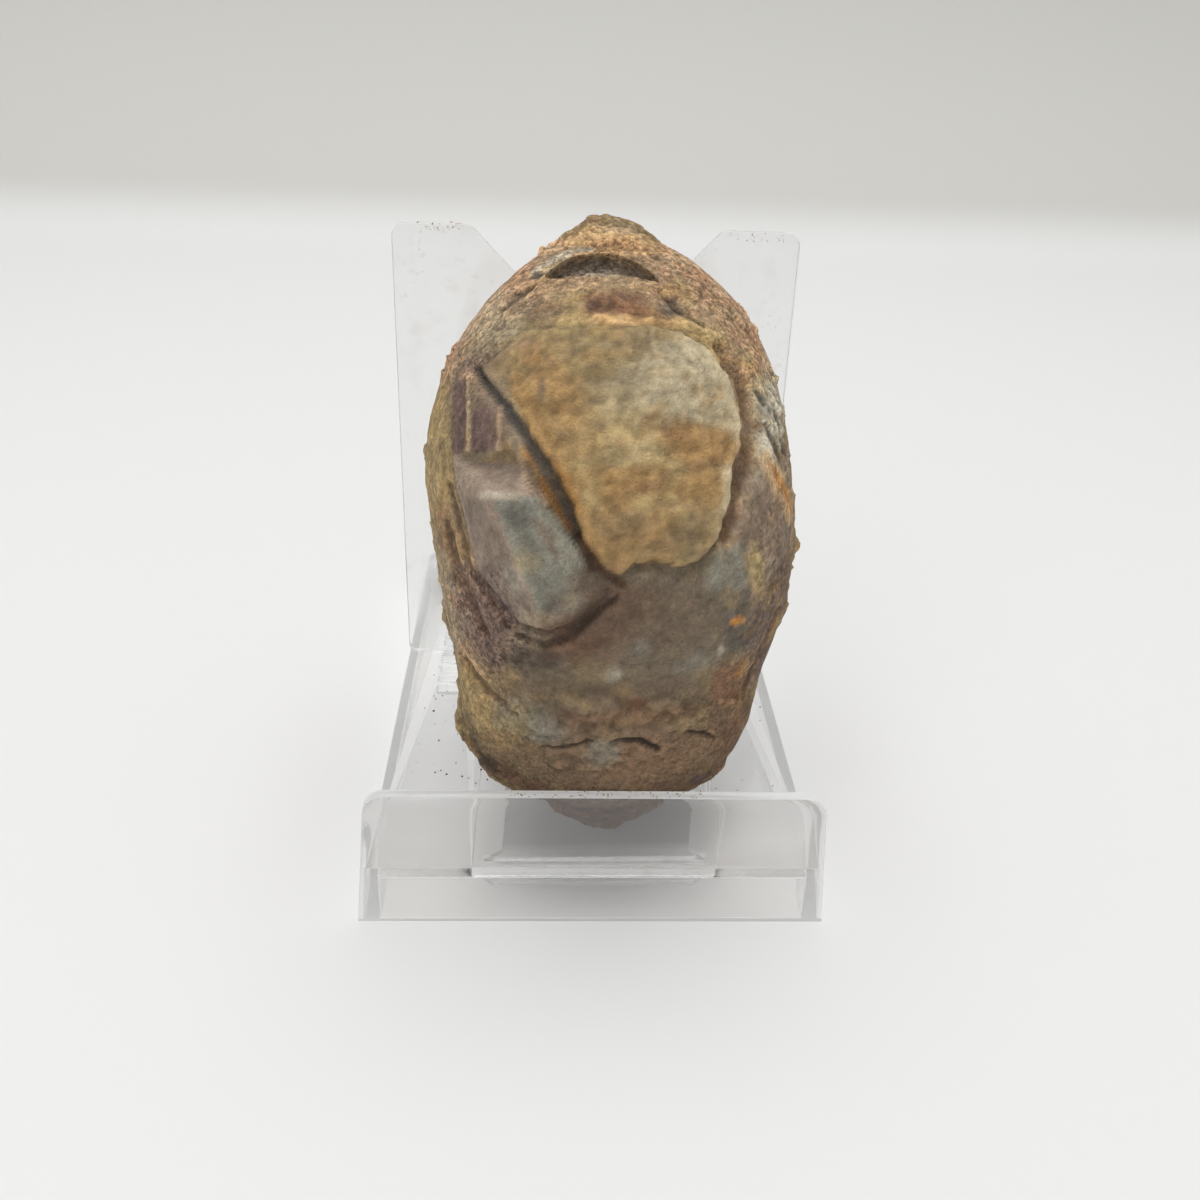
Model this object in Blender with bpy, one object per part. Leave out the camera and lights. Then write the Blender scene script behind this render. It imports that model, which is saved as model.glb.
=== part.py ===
"""A rusty nodule standing on its narrow end in a clear two-piece display stand.

Three pieces: fossil_nodule (one natural stone), stand_base (an upside-down tray with a front lip,
a slot and two rows of rack notches) and stand_back (an upright plate with a V notch, on a flat
tongue that lies in the slot). Metres, +X right, +Y to the back, +Z up; the origin is the middle of
the object's box, at the surface it stands on. Inside the shape functions the stone has its own
frame: x right, y back, z up its long axis, from the middle of that axis.
"""

import math

import bmesh
import bpy
import numpy as np
from mathutils import Vector, noise

MM = 0.001
GAP = 0.3 * MM  # clearance between two pieces that touch
COLLECTION = "fossil_on_display_stand"

# Where the stand sits: its own y runs back from the lip's rear face.
STAND_Y = -57.1 * MM

# Base tray
BASE_WIDTH = 80.0 * MM
BASE_LENGTH = 124.0 * MM
BASE_HEIGHT = 11.5 * MM
WALL = 2.0 * MM
FOOT_SPREAD = 1.0 * MM  # the side walls flare out this much by their foot
REAR_CORNER = 3.0 * MM
LIP_HEIGHT = 16.5 * MM  # above the base's top
LIP_TOP_WIDTH = 78.8 * MM
LIP_FOOT_WIDTH = 83.8 * MM
LIP_CORNER = 3.8 * MM
SLOT_WIDTH = 43.0 * MM
SLOT_START = 1.2 * MM
SLOT_END = 106.0 * MM
RACK_FIRST = 57.0 * MM
RACK_PITCH = 4.0 * MM
RACK_COUNT = 13
RACK_X = 29.5 * MM
RACK_NOTCH = (6.0 * MM, 2.4 * MM)

# Back plate and tongue
BACK_Y = 71.8 * MM  # front face of the plate, at the base's top
BACK_HEIGHT = 94.7 * MM
BACK_LEAN = math.radians(2.25)
BACK_THICK = 2.0 * MM
BACK_CORNER = 2.6 * MM
FOOT_CORNER = 2.0 * MM
ARM_WIDTH = 15.2 * MM
NOTCH_SLOPE = math.radians(46.0)
NOTCH_FLOOR = 14.0 * MM  # width of the flat floor of the V notch
TONGUE_WIDTH = 33.0 * MM
HEAD_WIDTH = 39.2 * MM
HEAD_REAR = 5.6 * MM  # where the 45 degree flare begins
HEAD_FRONT = 2.0 * MM
FLANGE_DROP = 5.6 * MM
FLANGE_CHAMFER = 1.6 * MM
TAB = (5.0 * MM, 1.6 * MM, 1.9 * MM)

# Stone: long axis, and its half widths at nine levels from the foot to the top
STONE_LENGTH = 104.0 * MM
STONE_LEAN = math.radians(20.0)
STONE_SIDE_LEAN = math.radians(-0.8)
STONE_MIDDLE = (1.2 * MM, 33.2 * MM, 50.4 * MM)
LEFT = (41.5, 37.0, 30.5, 29.5, 30.5, 32.5, 33.0, 32.0, 27.5)
RIGHT = (42.0, 37.5, 33.0, 33.5, 33.5, 33.5, 34.5, 35.5, 33.5)
FRONT = (42.0, 32.5, 31.5, 36.5, 39.0, 40.0, 37.0, 30.0, 22.0)
BACK = (14.0, 20.0, 27.0, 33.0, 38.0, 39.0, 38.0, 34.0, 28.0)
SECTION_POWER = 2.2  # 2 is an ellipse, more is squarer
STONE_COLUMNS = 72
STONE_ROWS = 38
WEATHERING = 1.2 * MM
WEATHERING_SCALE = 11.0 * MM

# Lumps and hollows: place on the surface (x, y, z), reach, height outwards, all in mm
LUMPS = (
    ((-0.5, -8.0, -51.0), 8.0, 2.6),  # the toe it stands on
    ((6.0, -34.0, -13.0), 15.0, -3.4),  # hollow under the spalled plate
    ((-20.0, -26.0, -16.0), 9.0, -2.2),  # hollow left of it
    ((20.0, -28.0, -11.0), 6.0, -1.2),
    ((22.5, -26.0, 19.0), 5.0, -1.4),  # the furrow along the plate's right edge
    ((21.5, -29.0, 8.0), 5.0, -1.6),
    ((0.7, 3.0, 51.5), 8.0, 3.1),  # the knob on top
    ((-10.0, 0.0, 47.0), 5.0, 1.8),  # its left shoulder
    ((-20.0, -12.0, -45.0), 7.0, 1.3),  # corners of the foot
    ((19.0, -12.0, -45.0), 7.0, 1.3),
    ((0.0, -24.0, -28.0), 10.0, 1.2),  # swelling of the lower face
    ((-27.5, -2.0, -17.0), 3.6, 1.3),  # nubs on the left outline
    ((-25.5, -3.0, -35.0), 4.0, 1.5),
    ((-30.5, -5.0, 13.0), 4.6, 1.4),
    ((-27.0, -2.0, 30.0), 4.0, 1.7),
    ((32.0, -8.0, -3.0), 4.0, 0.9),  # nubs on the right outline
    ((24.5, -3.0, 38.0), 9.0, 0.6),
    ((28.0, 10.0, -26.0), 10.0, 1.8),  # lumps and pits of the sides and back
    ((-24.0, 22.0, 18.0), 12.0, 2.0),
    ((8.0, 38.0, -14.0), 13.0, 1.6),
    ((-8.0, 33.0, 30.0), 11.0, -1.8),
    ((20.0, 28.0, 20.0), 9.0, -1.6),
    ((-20.0, 28.0, -24.0), 10.0, -1.6),
)

PLATE_OUTLINE = (  # the spalled face, from its upper left round to its bottom point (x, z)
    (-21.0, 30.0),
    (-14.0, 36.5),
    (-5.0, 38.0),
    (6.0, 36.5),
    (13.5, 33.0),
    (18.0, 26.5),
    (20.2, 18.0),
    (19.4, 9.5),
    (17.6, 3.6),
    (13.2, -0.4),
    (7.0, 0.2),
    (3.2, -0.6),
    (-0.6, -3.4),
    (-4.0, 1.0),
    (-8.4, 9.6),
    (-13.0, 17.6),
)
PLATE_RISE = (0.4, 2.8)  # mm, at its upper left and at its right and lower edge
CRACK_PATH = ((-22.0, 31.0), (-17.5, 24.5), (-11.3, 15.5), (-6.2, 6.5), (-3.4, 0.8))  # x, z
CRACK_RADIUS = 1.5 * MM
CRACK_DEPTH = 0.6 * MM

BLOCK_CORNERS = (  # x, y, z of the chunk that stands out of the lower left
    (-25.0, -27.0, 15.0),
    (-13.0, -34.5, 15.2),
    (-24.0, -30.5, 9.0),
    (-17.2, -43.0, 7.5),
    (-10.8, -43.2, 7.8),
    (-21.5, -32.0, -3.5),
    (-12.0, -40.5, -13.5),
    (-8.4, -41.5, -12.8),
    (-3.2, -39.8, -6.0),
    (-6.0, -38.5, 1.0),
    (-20.0, -16.0, 12.0),
    (-8.0, -18.0, 12.0),
    (-14.0, -18.0, -12.0),
    (-4.0, -20.0, -8.0),
)

SLIT_AT = (-1.3, -8.0, 44.8)
SLIT_RADII = (9.8, 9.0, 2.5)
SLIT_BEND = 3.4 * MM  # how far the ends of the crescent hang below its middle
SLIT_TILT = math.radians(12.0)


def material(name: str, colour: tuple, roughness: float, clear: float = 0.0) -> bpy.types.Material:
    """A Principled material; clear is its transmission."""
    finish = bpy.data.materials.new(name)
    finish.use_nodes = True
    shader = finish.node_tree.nodes["Principled BSDF"]
    shader.inputs["Base Color"].default_value = (*colour, 1.0)
    shader.inputs["Roughness"].default_value = roughness
    shader.inputs["Metallic"].default_value = 0.0
    shader.inputs["Transmission Weight"].default_value = clear
    finish.diffuse_color = (*colour, 1.0)
    return finish


def object_from(name: str, mesh_source: bmesh.types.BMesh, home: bpy.types.Collection) -> bpy.types.Object:
    """Turn a bmesh into an object in the given collection and free the bmesh."""
    mesh = bpy.data.meshes.new(name)
    bmesh.ops.recalc_face_normals(mesh_source, faces=mesh_source.faces[:])
    mesh_source.to_mesh(mesh)
    mesh_source.free()
    made = bpy.data.objects.new(name, mesh)
    home.objects.link(made)
    return made


def cutter_of(made: bpy.types.Object) -> bpy.types.Object:
    """Mark an object as one that only cuts or joins."""
    made.hide_render = True
    made.display_type = "WIRE"
    return made


def boolean(target: bpy.types.Object, tool: bpy.types.Object, operation: str) -> None:
    """Add an exact Boolean modifier to the target."""
    step = target.modifiers.new(f"{operation.lower()}_{tool.name}", "BOOLEAN")
    step.operation = operation
    step.solver = "EXACT"
    step.object = tool


def box(name: str, low: tuple, high: tuple, home: bpy.types.Collection) -> bpy.types.Object:
    """A box between two corners."""
    shape = bmesh.new()
    bmesh.ops.create_cube(shape, size=1.0)
    size = Vector(high) - Vector(low)
    bmesh.ops.scale(shape, vec=size, verts=shape.verts[:])
    bmesh.ops.translate(shape, vec=(Vector(low) + Vector(high)) / 2, verts=shape.verts[:])
    return object_from(name, shape, home)


def rounded(points: list, radii: list, steps: int = 5) -> list:
    """Replace each corner of an outline by an arc of its radius; a radius of 0 keeps the corner."""
    outline = []
    count = len(points)
    for index, radius in enumerate(radii):
        corner = Vector(points[index])
        before = (Vector(points[index - 1]) - corner).normalized()
        after = (Vector(points[(index + 1) % count]) - corner).normalized()
        if radius == 0.0:
            outline.append(corner)
            continue
        half = before.angle(after) / 2
        centre = corner + (before + after).normalized() * radius / math.sin(half)
        start = corner + before * radius / math.tan(half) - centre
        end = corner + after * radius / math.tan(half) - centre
        turn = start.angle(end)
        for step in range(steps + 1):
            share = step / steps
            arm = start * math.sin((1 - share) * turn) + end * math.sin(share * turn)
            outline.append(centre + arm / math.sin(turn))
    return outline


def flat_piece(name: str, outline: list, thickness: float, home: bpy.types.Collection) -> bpy.types.Object:
    """A flat outline in its own x and y, made thick both ways along z, as a closed mesh."""
    curve = bpy.data.curves.new(name, "CURVE")
    curve.dimensions = "2D"
    curve.fill_mode = "BOTH"
    curve.extrude = thickness / 2
    spline = curve.splines.new("POLY")
    spline.points.add(len(outline) - 1)
    for point, place in zip(spline.points, outline):
        point.co = (place[0], place[1], 0.0, 1.0)
    spline.use_cyclic_u = True
    source = bpy.data.objects.new(name + "_curve", curve)
    home.objects.link(source)
    evaluated = source.evaluated_get(bpy.context.evaluated_depsgraph_get())
    mesh = bpy.data.meshes.new_from_object(evaluated)
    bpy.data.objects.remove(source)
    shape = bmesh.new()
    shape.from_mesh(mesh)
    bpy.data.meshes.remove(mesh)
    bmesh.ops.remove_doubles(shape, verts=shape.verts[:], dist=0.00001)
    return object_from(name, shape, home)


def upright(piece: bpy.types.Object, y: float, z: float, lean: float = 0.0) -> bpy.types.Object:
    """Stand a flat piece up: its outline's y becomes height, its middle plane lies at y."""
    piece.rotation_euler = (math.pi / 2 - lean, 0.0, 0.0)
    piece.location = (0.0, y, z)
    return piece


# ---------------------------------------------------------------- the stone


def level_width(knots: tuple, level: np.ndarray) -> np.ndarray:
    """Half width at a level from -1 (foot) to 1 (top): a smooth curve through the nine knots."""
    values = np.asarray(knots) * MM
    last = len(values) - 1
    place = np.clip((level + 1) / 2, 0.0, 1.0) * last
    index = np.minimum(place.astype(int), last - 1)
    share = place - index
    padded = np.concatenate(([2 * values[0] - values[1]], values, [2 * values[-1] - values[-2]]))
    p0, p1, p2, p3 = (padded[index + offset] for offset in range(4))
    cubic = 2 * p1 + (p2 - p0) * share + (2 * p0 - 5 * p1 + 4 * p2 - p3) * share**2
    return (cubic + (3 * p1 - p0 - 3 * p2 + p3) * share**3) / 2


def stone_surface(unit: np.ndarray) -> np.ndarray:
    """Carry points of a unit sphere onto the nodule's body, with its lumps and hollows."""
    level = np.clip(unit[:, 2], -1.0, 1.0)
    girth = np.sqrt(1 - level**2)
    turn = np.arctan2(unit[:, 1], unit[:, 0])
    across, along = np.cos(turn), np.sin(turn)
    side = np.where(across > 0, level_width(RIGHT, level), level_width(LEFT, level))
    depth = np.where(along > 0, level_width(BACK, level), level_width(FRONT, level))
    power = 2 / SECTION_POWER
    body = np.stack(
        (
            side * np.sign(across) * np.abs(across) ** power * girth,
            depth * np.sign(along) * np.abs(along) ** power * girth,
            level * STONE_LENGTH / 2,
        ),
        axis=1,
    )
    out = outward(body)
    rise = np.zeros(len(body))
    for place, reach, height in LUMPS:
        distance = np.linalg.norm(body - np.asarray(place) * MM, axis=1) / (reach * MM)
        rise += height * MM * np.exp(-1.4 * distance**2)
    weather = [noise.fractal(Vector(point) / WEATHERING_SCALE, 0.9, 2.0, 3) for point in body]
    rise += WEATHERING * np.asarray(weather)
    return body + out * rise[:, None]


def outward(body: np.ndarray) -> np.ndarray:
    """Unit directions out of the body, as on an ellipsoid of about its size."""
    radii = np.asarray((33.0, 38.0, STONE_LENGTH / 2 / MM)) * MM
    slope = body / radii**2
    return slope / np.linalg.norm(slope, axis=1)[:, None]


def stone_shell(name: str, home: bpy.types.Collection, rise: tuple = (0.0, 0.0)) -> bpy.types.Object:
    """The body, or a copy of it lifted by a rise that grows from the upper left to the lower right."""
    shape = bmesh.new()
    bmesh.ops.create_uvsphere(shape, u_segments=STONE_COLUMNS, v_segments=STONE_ROWS, radius=1.0)
    places = stone_surface(np.array([vert.co[:] for vert in shape.verts]))
    if rise[1]:
        fall = (places[:, 0] - places[:, 2]) / (STONE_LENGTH / 2)
        share = np.clip(0.75 + fall, 0.0, 1.0)
        lift = (rise[0] + (rise[1] - rise[0]) * share) * MM
        places = places + outward(places) * lift[:, None]
    for vert, place in zip(shape.verts, places):
        vert.co = place
    return object_from(name, shape, home)


def ellipsoid(name: str, centre: tuple, radii: tuple, home: bpy.types.Collection) -> bpy.types.Object:
    """An ellipsoid of given half sizes, in mm."""
    shape = bmesh.new()
    bmesh.ops.create_uvsphere(shape, u_segments=28, v_segments=14, radius=1.0)
    bmesh.ops.scale(shape, vec=Vector(radii) * MM, verts=shape.verts[:])
    bmesh.ops.translate(shape, vec=Vector(centre) * MM, verts=shape.verts[:])
    return object_from(name, shape, home)


def spalled_plate(home: bpy.types.Collection) -> bpy.types.Object:
    """The pale face: the body lifted a little, kept inside the plate's outline."""
    plate = stone_shell("spalled_plate", home, PLATE_RISE)
    corners = [(x * MM, z * MM) for x, z in PLATE_OUTLINE]
    prism = flat_piece("plate_outline", rounded(corners, [0.0] * len(corners)), 50 * MM, home)
    upright(prism, -36 * MM, 0.0)
    boolean(plate, cutter_of(prism), "INTERSECT")
    return cutter_of(plate)


def broken_block(home: bpy.types.Collection) -> bpy.types.Object:
    """The angular chunk: the hull of its broken corners, with worn edges."""
    shape = bmesh.new()
    for corner in BLOCK_CORNERS:
        shape.verts.new(Vector(corner) * MM)
    hull = bmesh.ops.convex_hull(shape, input=shape.verts[:])
    bmesh.ops.delete(shape, geom=hull["geom_interior"], context="VERTS")
    bmesh.ops.bevel(
        shape, geom=shape.edges[:], offset=0.8 * MM, segments=1, profile=0.5, affect="EDGES"
    )
    return cutter_of(object_from("broken_block", shape, home))


def crack_groove(home: bpy.types.Collection) -> bpy.types.Object:
    """The dark seam: a thin rod that follows the face and cuts a shallow groove in it."""
    curve = bpy.data.curves.new("crack", "CURVE")
    curve.dimensions = "3D"
    curve.bevel_depth = CRACK_RADIUS
    curve.bevel_resolution = 1
    curve.use_fill_caps = True
    spline = curve.splines.new("POLY")
    spline.points.add(len(CRACK_PATH) - 1)
    for point, (x, z) in zip(spline.points, CRACK_PATH):
        y = face_y(x * MM, z * MM) - CRACK_RADIUS + CRACK_DEPTH
        point.co = (x * MM, y, z * MM, 1.0)
    source = bpy.data.objects.new("crack_curve", curve)
    home.objects.link(source)
    evaluated = source.evaluated_get(bpy.context.evaluated_depsgraph_get())
    mesh = bpy.data.meshes.new_from_object(evaluated)
    bpy.data.objects.remove(source)
    shape = bmesh.new()
    shape.from_mesh(mesh)
    bpy.data.meshes.remove(mesh)
    bmesh.ops.remove_doubles(shape, verts=shape.verts[:], dist=0.00001)
    return cutter_of(object_from("crack_groove", shape, home))


def face_y(x: float, z: float) -> float:
    """Depth of the body's front face at a place in its own x and z."""
    level = np.array([z / (STONE_LENGTH / 2)])
    girth = math.sqrt(1 - level[0] ** 2)
    side = level_width(RIGHT if x > 0 else LEFT, level)[0] * girth
    depth = level_width(FRONT, level)[0] * girth
    share = min(abs(x) / side, 1.0)
    return -depth * (1 - share**SECTION_POWER) ** (1 / SECTION_POWER)


def crescent_slit(home: bpy.types.Collection) -> bpy.types.Object:
    """The cavity under the knob: a flat lens bent so that its ends hang down."""
    lens = ellipsoid("crescent_slit", (0.0, 0.0, 0.0), SLIT_RADII, home)
    for vert in lens.data.vertices:
        vert.co.z += SLIT_BEND * (0.3 - (vert.co.x / (SLIT_RADII[0] * MM)) ** 2)
    lens.rotation_euler = (SLIT_TILT, 0.0, 0.0)
    lens.location = Vector(SLIT_AT) * MM
    return cutter_of(lens)


def build_stone(home: bpy.types.Collection, tools: bpy.types.Collection) -> bpy.types.Object:
    """The nodule: body, plate and block joined, then the crack and the slit cut."""
    stone = stone_shell("fossil_nodule", home)
    stone.data.materials.append(material("rusty_stone", (0.36, 0.25, 0.13), 0.85))
    plate, block = spalled_plate(tools), broken_block(tools)
    crack, slit = crack_groove(tools), crescent_slit(tools)
    for joined in (plate, block):
        boolean(stone, joined, "UNION")
    for cut in (crack, slit):
        boolean(stone, cut, "DIFFERENCE")
    holder = bpy.data.objects.new("stone_seat", None)
    home.objects.link(holder)
    holder.rotation_euler = (-STONE_LEAN, STONE_SIDE_LEAN, 0.0)
    holder.location = Vector(STONE_MIDDLE) + Vector((0.0, STAND_Y, BASE_HEIGHT))
    plate_prism = bpy.data.objects["plate_outline"]
    for part in (stone, plate, plate_prism, block, crack, slit):
        part.parent = holder
    return stone


# ---------------------------------------------------------------- the stand


def tray_body(home: bpy.types.Collection) -> bpy.types.Object:
    """The solid block of the tray, its foot wider than its top, rear corners rounded."""
    half = BASE_WIDTH / 2
    front, rear = -WALL / 2, BASE_LENGTH
    corners = [(-half, front), (half, front), (half, rear), (-half, rear)]
    outline = rounded(corners, [0.0, 0.0, REAR_CORNER, REAR_CORNER])
    tray = flat_piece("stand_base", outline, BASE_HEIGHT, home)
    for vert in tray.data.vertices:
        if vert.co.z < 0.0:
            vert.co.x *= 1 + FOOT_SPREAD / half
    tray.location = (0.0, 0.0, -BASE_HEIGHT / 2)
    return tray


def lip_outline() -> list:
    """The front wall: wider at the foot, with rounded top corners."""
    top, foot = LIP_TOP_WIDTH / 2, LIP_FOOT_WIDTH / 2
    corners = [(-foot, -BASE_HEIGHT), (foot, -BASE_HEIGHT), (top, LIP_HEIGHT), (-top, LIP_HEIGHT)]
    return rounded(corners, [0.0, 0.0, LIP_CORNER, LIP_CORNER])


def rack_cutter(home: bpy.types.Collection) -> bpy.types.Object:
    """All the rack notches of both rows, as separate boxes in one cutter."""
    shape = bmesh.new()
    for side in (-1, 1):
        for index in range(RACK_COUNT):
            cube = bmesh.ops.create_cube(shape, size=1.0)["verts"]
            bmesh.ops.scale(shape, vec=(*RACK_NOTCH, 3 * WALL), verts=cube)
            place = (side * RACK_X, RACK_FIRST + index * RACK_PITCH, -WALL / 2)
            bmesh.ops.translate(shape, vec=place, verts=cube)
    return cutter_of(object_from("rack_notches", shape, home))


def build_base(home: bpy.types.Collection, tools: bpy.types.Collection) -> bpy.types.Object:
    """The base moulding: tray hollowed from below, lip joined, slot and racks cut."""
    base = tray_body(home)
    base.data.materials.append(material("clear_base", (0.86, 0.87, 0.86), 0.08, 0.9))
    inner_half = BASE_WIDTH / 2 - WALL
    hollow = box(
        "tray_hollow",
        (-inner_half, 0.0, -BASE_HEIGHT - WALL),
        (inner_half, BASE_LENGTH - WALL, -WALL),
        tools,
    )
    slot = box(
        "tongue_slot",
        (-SLOT_WIDTH / 2, SLOT_START, -2 * WALL),
        (SLOT_WIDTH / 2, SLOT_END, WALL),
        tools,
    )
    lip = upright(flat_piece("lip", lip_outline(), WALL, tools), -WALL / 2, 0.0)
    racks = rack_cutter(tools)
    boolean(base, cutter_of(hollow), "DIFFERENCE")
    boolean(base, cutter_of(lip), "UNION")
    boolean(base, cutter_of(slot), "DIFFERENCE")
    boolean(base, racks, "DIFFERENCE")
    return base


def back_outline() -> list:
    """The upright plate seen from the front, heights from the base's top."""
    half, notch_half = BASE_WIDTH / 2, BASE_WIDTH / 2 - ARM_WIDTH
    floor = NOTCH_FLOOR / 2
    floor_z = BACK_HEIGHT - (notch_half - floor) * math.tan(NOTCH_SLOPE)
    corners = [
        (-half, GAP),
        (half, GAP),
        (half, BACK_HEIGHT),
        (notch_half, BACK_HEIGHT),
        (floor, floor_z),
        (-floor, floor_z),
        (-notch_half, BACK_HEIGHT),
        (-half, BACK_HEIGHT),
    ]
    bend = BACK_CORNER
    return rounded(corners, [FOOT_CORNER, FOOT_CORNER, bend, bend, bend, bend, bend, bend])


def tongue_outline() -> list:
    """The tongue and its flared head seen from above."""
    half, head = TONGUE_WIDTH / 2, HEAD_WIDTH / 2
    rear = BACK_Y + BACK_THICK
    right = [(half, rear), (half, HEAD_REAR), (head, HEAD_REAR - (head - half)), (head, HEAD_FRONT)]
    return right + [(-x, y) for x, y in reversed(right)]


def flange_outline() -> list:
    """The turned-down front edge of the head, with chamfered lower corners."""
    half = HEAD_WIDTH / 2
    low, cut = -FLANGE_DROP, FLANGE_CHAMFER
    left = [(-half, -GAP), (-half, low + cut), (-half + cut, low)]
    return left + [(-x, z) for x, z in reversed(left)]


def build_back(home: bpy.types.Collection, tools: bpy.types.Collection) -> bpy.types.Object:
    """The back moulding: plate, tongue, turned-down head and the two tabs, joined."""
    middle = BACK_Y + BACK_THICK / 2
    back = flat_piece("stand_back", back_outline(), BACK_THICK, home)
    upright(back, middle, 0.0, BACK_LEAN)
    back.data.materials.append(material("clear_back", (0.88, 0.89, 0.88), 0.08, 0.9))
    tongue = flat_piece("tongue", tongue_outline(), WALL, tools)
    tongue.location = (0.0, 0.0, -WALL / 2)
    flange_y = HEAD_FRONT + WALL / 2 + GAP
    flange = upright(flat_piece("flange", flange_outline(), WALL, tools), flange_y, 0.0)
    neck_half = TONGUE_WIDTH / 2 - GAP
    neck = box(
        "neck",
        (-neck_half, BACK_Y + GAP, -WALL / 2),
        (neck_half, BACK_Y + BACK_THICK - GAP, 2 * WALL),
        tools,
    )
    joined = [tongue, flange, neck]
    for side in (-1, 1):
        width, depth, drop = TAB
        low = (side * RACK_X - width / 2, middle - depth / 2, -drop)
        high = (side * RACK_X + width / 2, middle + depth / 2, WALL)
        joined.append(box("tab_left" if side < 0 else "tab_right", low, high, tools))
    for piece in joined:
        boolean(back, cutter_of(piece), "UNION")
    return back


def seat_stand(pieces: list) -> None:
    """Carry the stand from its own frame to the object's, standing on z = 0."""
    for piece in pieces:
        piece.location += Vector((0.0, STAND_Y, BASE_HEIGHT))


def main() -> None:
    """Build the three pieces."""
    for old in list(bpy.data.objects):
        bpy.data.objects.remove(old)
    home = bpy.data.collections.new(COLLECTION)
    tools = bpy.data.collections.new("cutters")
    for group in (home, tools):
        bpy.context.scene.collection.children.link(group)
    build_stone(home, tools)
    stand_tools_before = set(tools.objects)
    base = build_base(home, tools)
    back = build_back(home, tools)
    seat_stand([base, back, *(set(tools.objects) - stand_tools_before)])


main()
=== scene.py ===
"""A rusty nodule in its clear two-piece display stand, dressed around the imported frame.

Everything is in the object's own frame: +X right, +Y to the back, +Z up, metres. The stone's
shape functions work in millimetres in the stone's frame: x right, y back, z up its long axis.
"""

import logging
import math
from dataclasses import dataclass
from enum import Enum

import bmesh
import bpy
import numpy as np
from mathutils import Euler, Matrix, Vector


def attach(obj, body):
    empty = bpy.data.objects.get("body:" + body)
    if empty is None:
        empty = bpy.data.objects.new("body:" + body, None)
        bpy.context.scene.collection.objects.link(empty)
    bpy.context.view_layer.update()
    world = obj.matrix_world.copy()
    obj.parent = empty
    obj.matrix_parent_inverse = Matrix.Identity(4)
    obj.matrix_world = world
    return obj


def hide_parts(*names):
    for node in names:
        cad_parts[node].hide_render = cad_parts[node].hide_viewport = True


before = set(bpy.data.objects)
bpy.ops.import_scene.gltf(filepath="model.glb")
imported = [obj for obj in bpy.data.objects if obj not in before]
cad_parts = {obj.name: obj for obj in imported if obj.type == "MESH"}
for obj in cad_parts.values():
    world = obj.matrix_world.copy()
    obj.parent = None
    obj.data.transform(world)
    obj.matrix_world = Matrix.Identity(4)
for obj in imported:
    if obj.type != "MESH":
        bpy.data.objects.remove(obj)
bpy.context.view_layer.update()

MM = 0.001
BODY = "root"
STAND_Y = -57.1  # mm: the rear face of the lip
BASE_TOP = 11.5  # mm: the top of the base plate above the table
SHADE_UNDER_STONE_FRONT = (-51.0, -50.2)  # mm in y: the band in which the painted shade below the stone begins
SHADE_UNDER_STONE_REAR = (6.0, -10.0)  # mm in y: the band in which the painted shade below the stone ends
MERGE = 0.01  # mm: points closer than this are one
log = logging.getLogger("display_fossil")

Array, Socket, Tree = np.ndarray, bpy.types.NodeSocket, bpy.types.NodeTree


# ---------------------------------------------------------------- numbers and noise

CORNERS = np.array([(i, j, k) for i in (0, 1) for j in (0, 1) for k in (0, 1)])
GRADIENTS = np.array(
    [(1, 1, 0), (-1, 1, 0), (1, -1, 0), (-1, -1, 0), (1, 0, 1), (-1, 0, 1), (1, 0, -1), (-1, 0, -1),
     (0, 1, 1), (0, -1, 1), (0, 1, -1), (0, -1, -1), (1, 1, 0), (-1, 1, 0), (0, -1, 1), (0, -1, -1)],
    dtype=float,
)


def smooth(low: float, high: float, value: Array) -> Array:
    """Rise smoothly from 0 to 1 between low and high: t squared times (3 minus 2 t)."""
    share = np.clip((value - low) / (high - low), 0.0, 1.0)
    return share * share * (3 - 2 * share)


def scramble(cells: Array, salt: int) -> Array:
    """Turn whole-number places into scattered 32-bit numbers by multiplying and folding.

    Args:
        cells: places, shape (..., 3).
        salt: a number that gives another scatter.

    Returns:
        One unsigned number for each place.
    """
    whole = cells.astype(np.int64).astype(np.uint32)
    mixed = whole[..., 0] * np.uint32(73856093) ^ whole[..., 1] * np.uint32(19349663)
    mixed = mixed ^ whole[..., 2] * np.uint32(83492791) ^ np.uint32(salt * 40503 + 977)
    mixed = (mixed ^ (mixed >> np.uint32(15))) * np.uint32(2246822519)
    mixed = (mixed ^ (mixed >> np.uint32(13))) * np.uint32(3266489917)
    return mixed ^ (mixed >> np.uint32(16))


def wave(points: Array, salt: int = 0) -> Array:
    """Gradient noise: at each lattice corner a slope, blended by a fifth-power fade.

    Args:
        points: places in lattice steps, shape (n, 3).
        salt: which pattern.

    Returns:
        Values of about -1 to 1.
    """
    cell = np.floor(points)
    local = points - cell
    fade = local**3 * (local * (local * 6 - 15) + 10)
    total = np.zeros(len(points))
    for corner in CORNERS:
        slope = GRADIENTS[scramble(cell + corner, salt) & np.uint32(15)]
        lift = np.einsum("ij,ij->i", slope, local - corner)
        total += lift * np.prod(np.where(corner == 1, fade, 1 - fade), axis=1)
    return total


def rough(points: Array, size: float, octaves: int = 3, salt: int = 0) -> Array:
    """Noise of a given lump size with finer noise on it, each octave half as large and high.

    Args:
        points: places in mm, shape (n, 3).
        size: the largest lumps' width in mm.
        octaves: how many sizes.
        salt: which pattern; each use has a number of its own.

    Returns:
        Values of about -1 to 1.
    """
    total = np.zeros(len(points))
    for octave in range(octaves):
        total += wave(points / size * 2**octave + 17.3 * octave, salt + octave) / 2**octave
    return total


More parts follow.
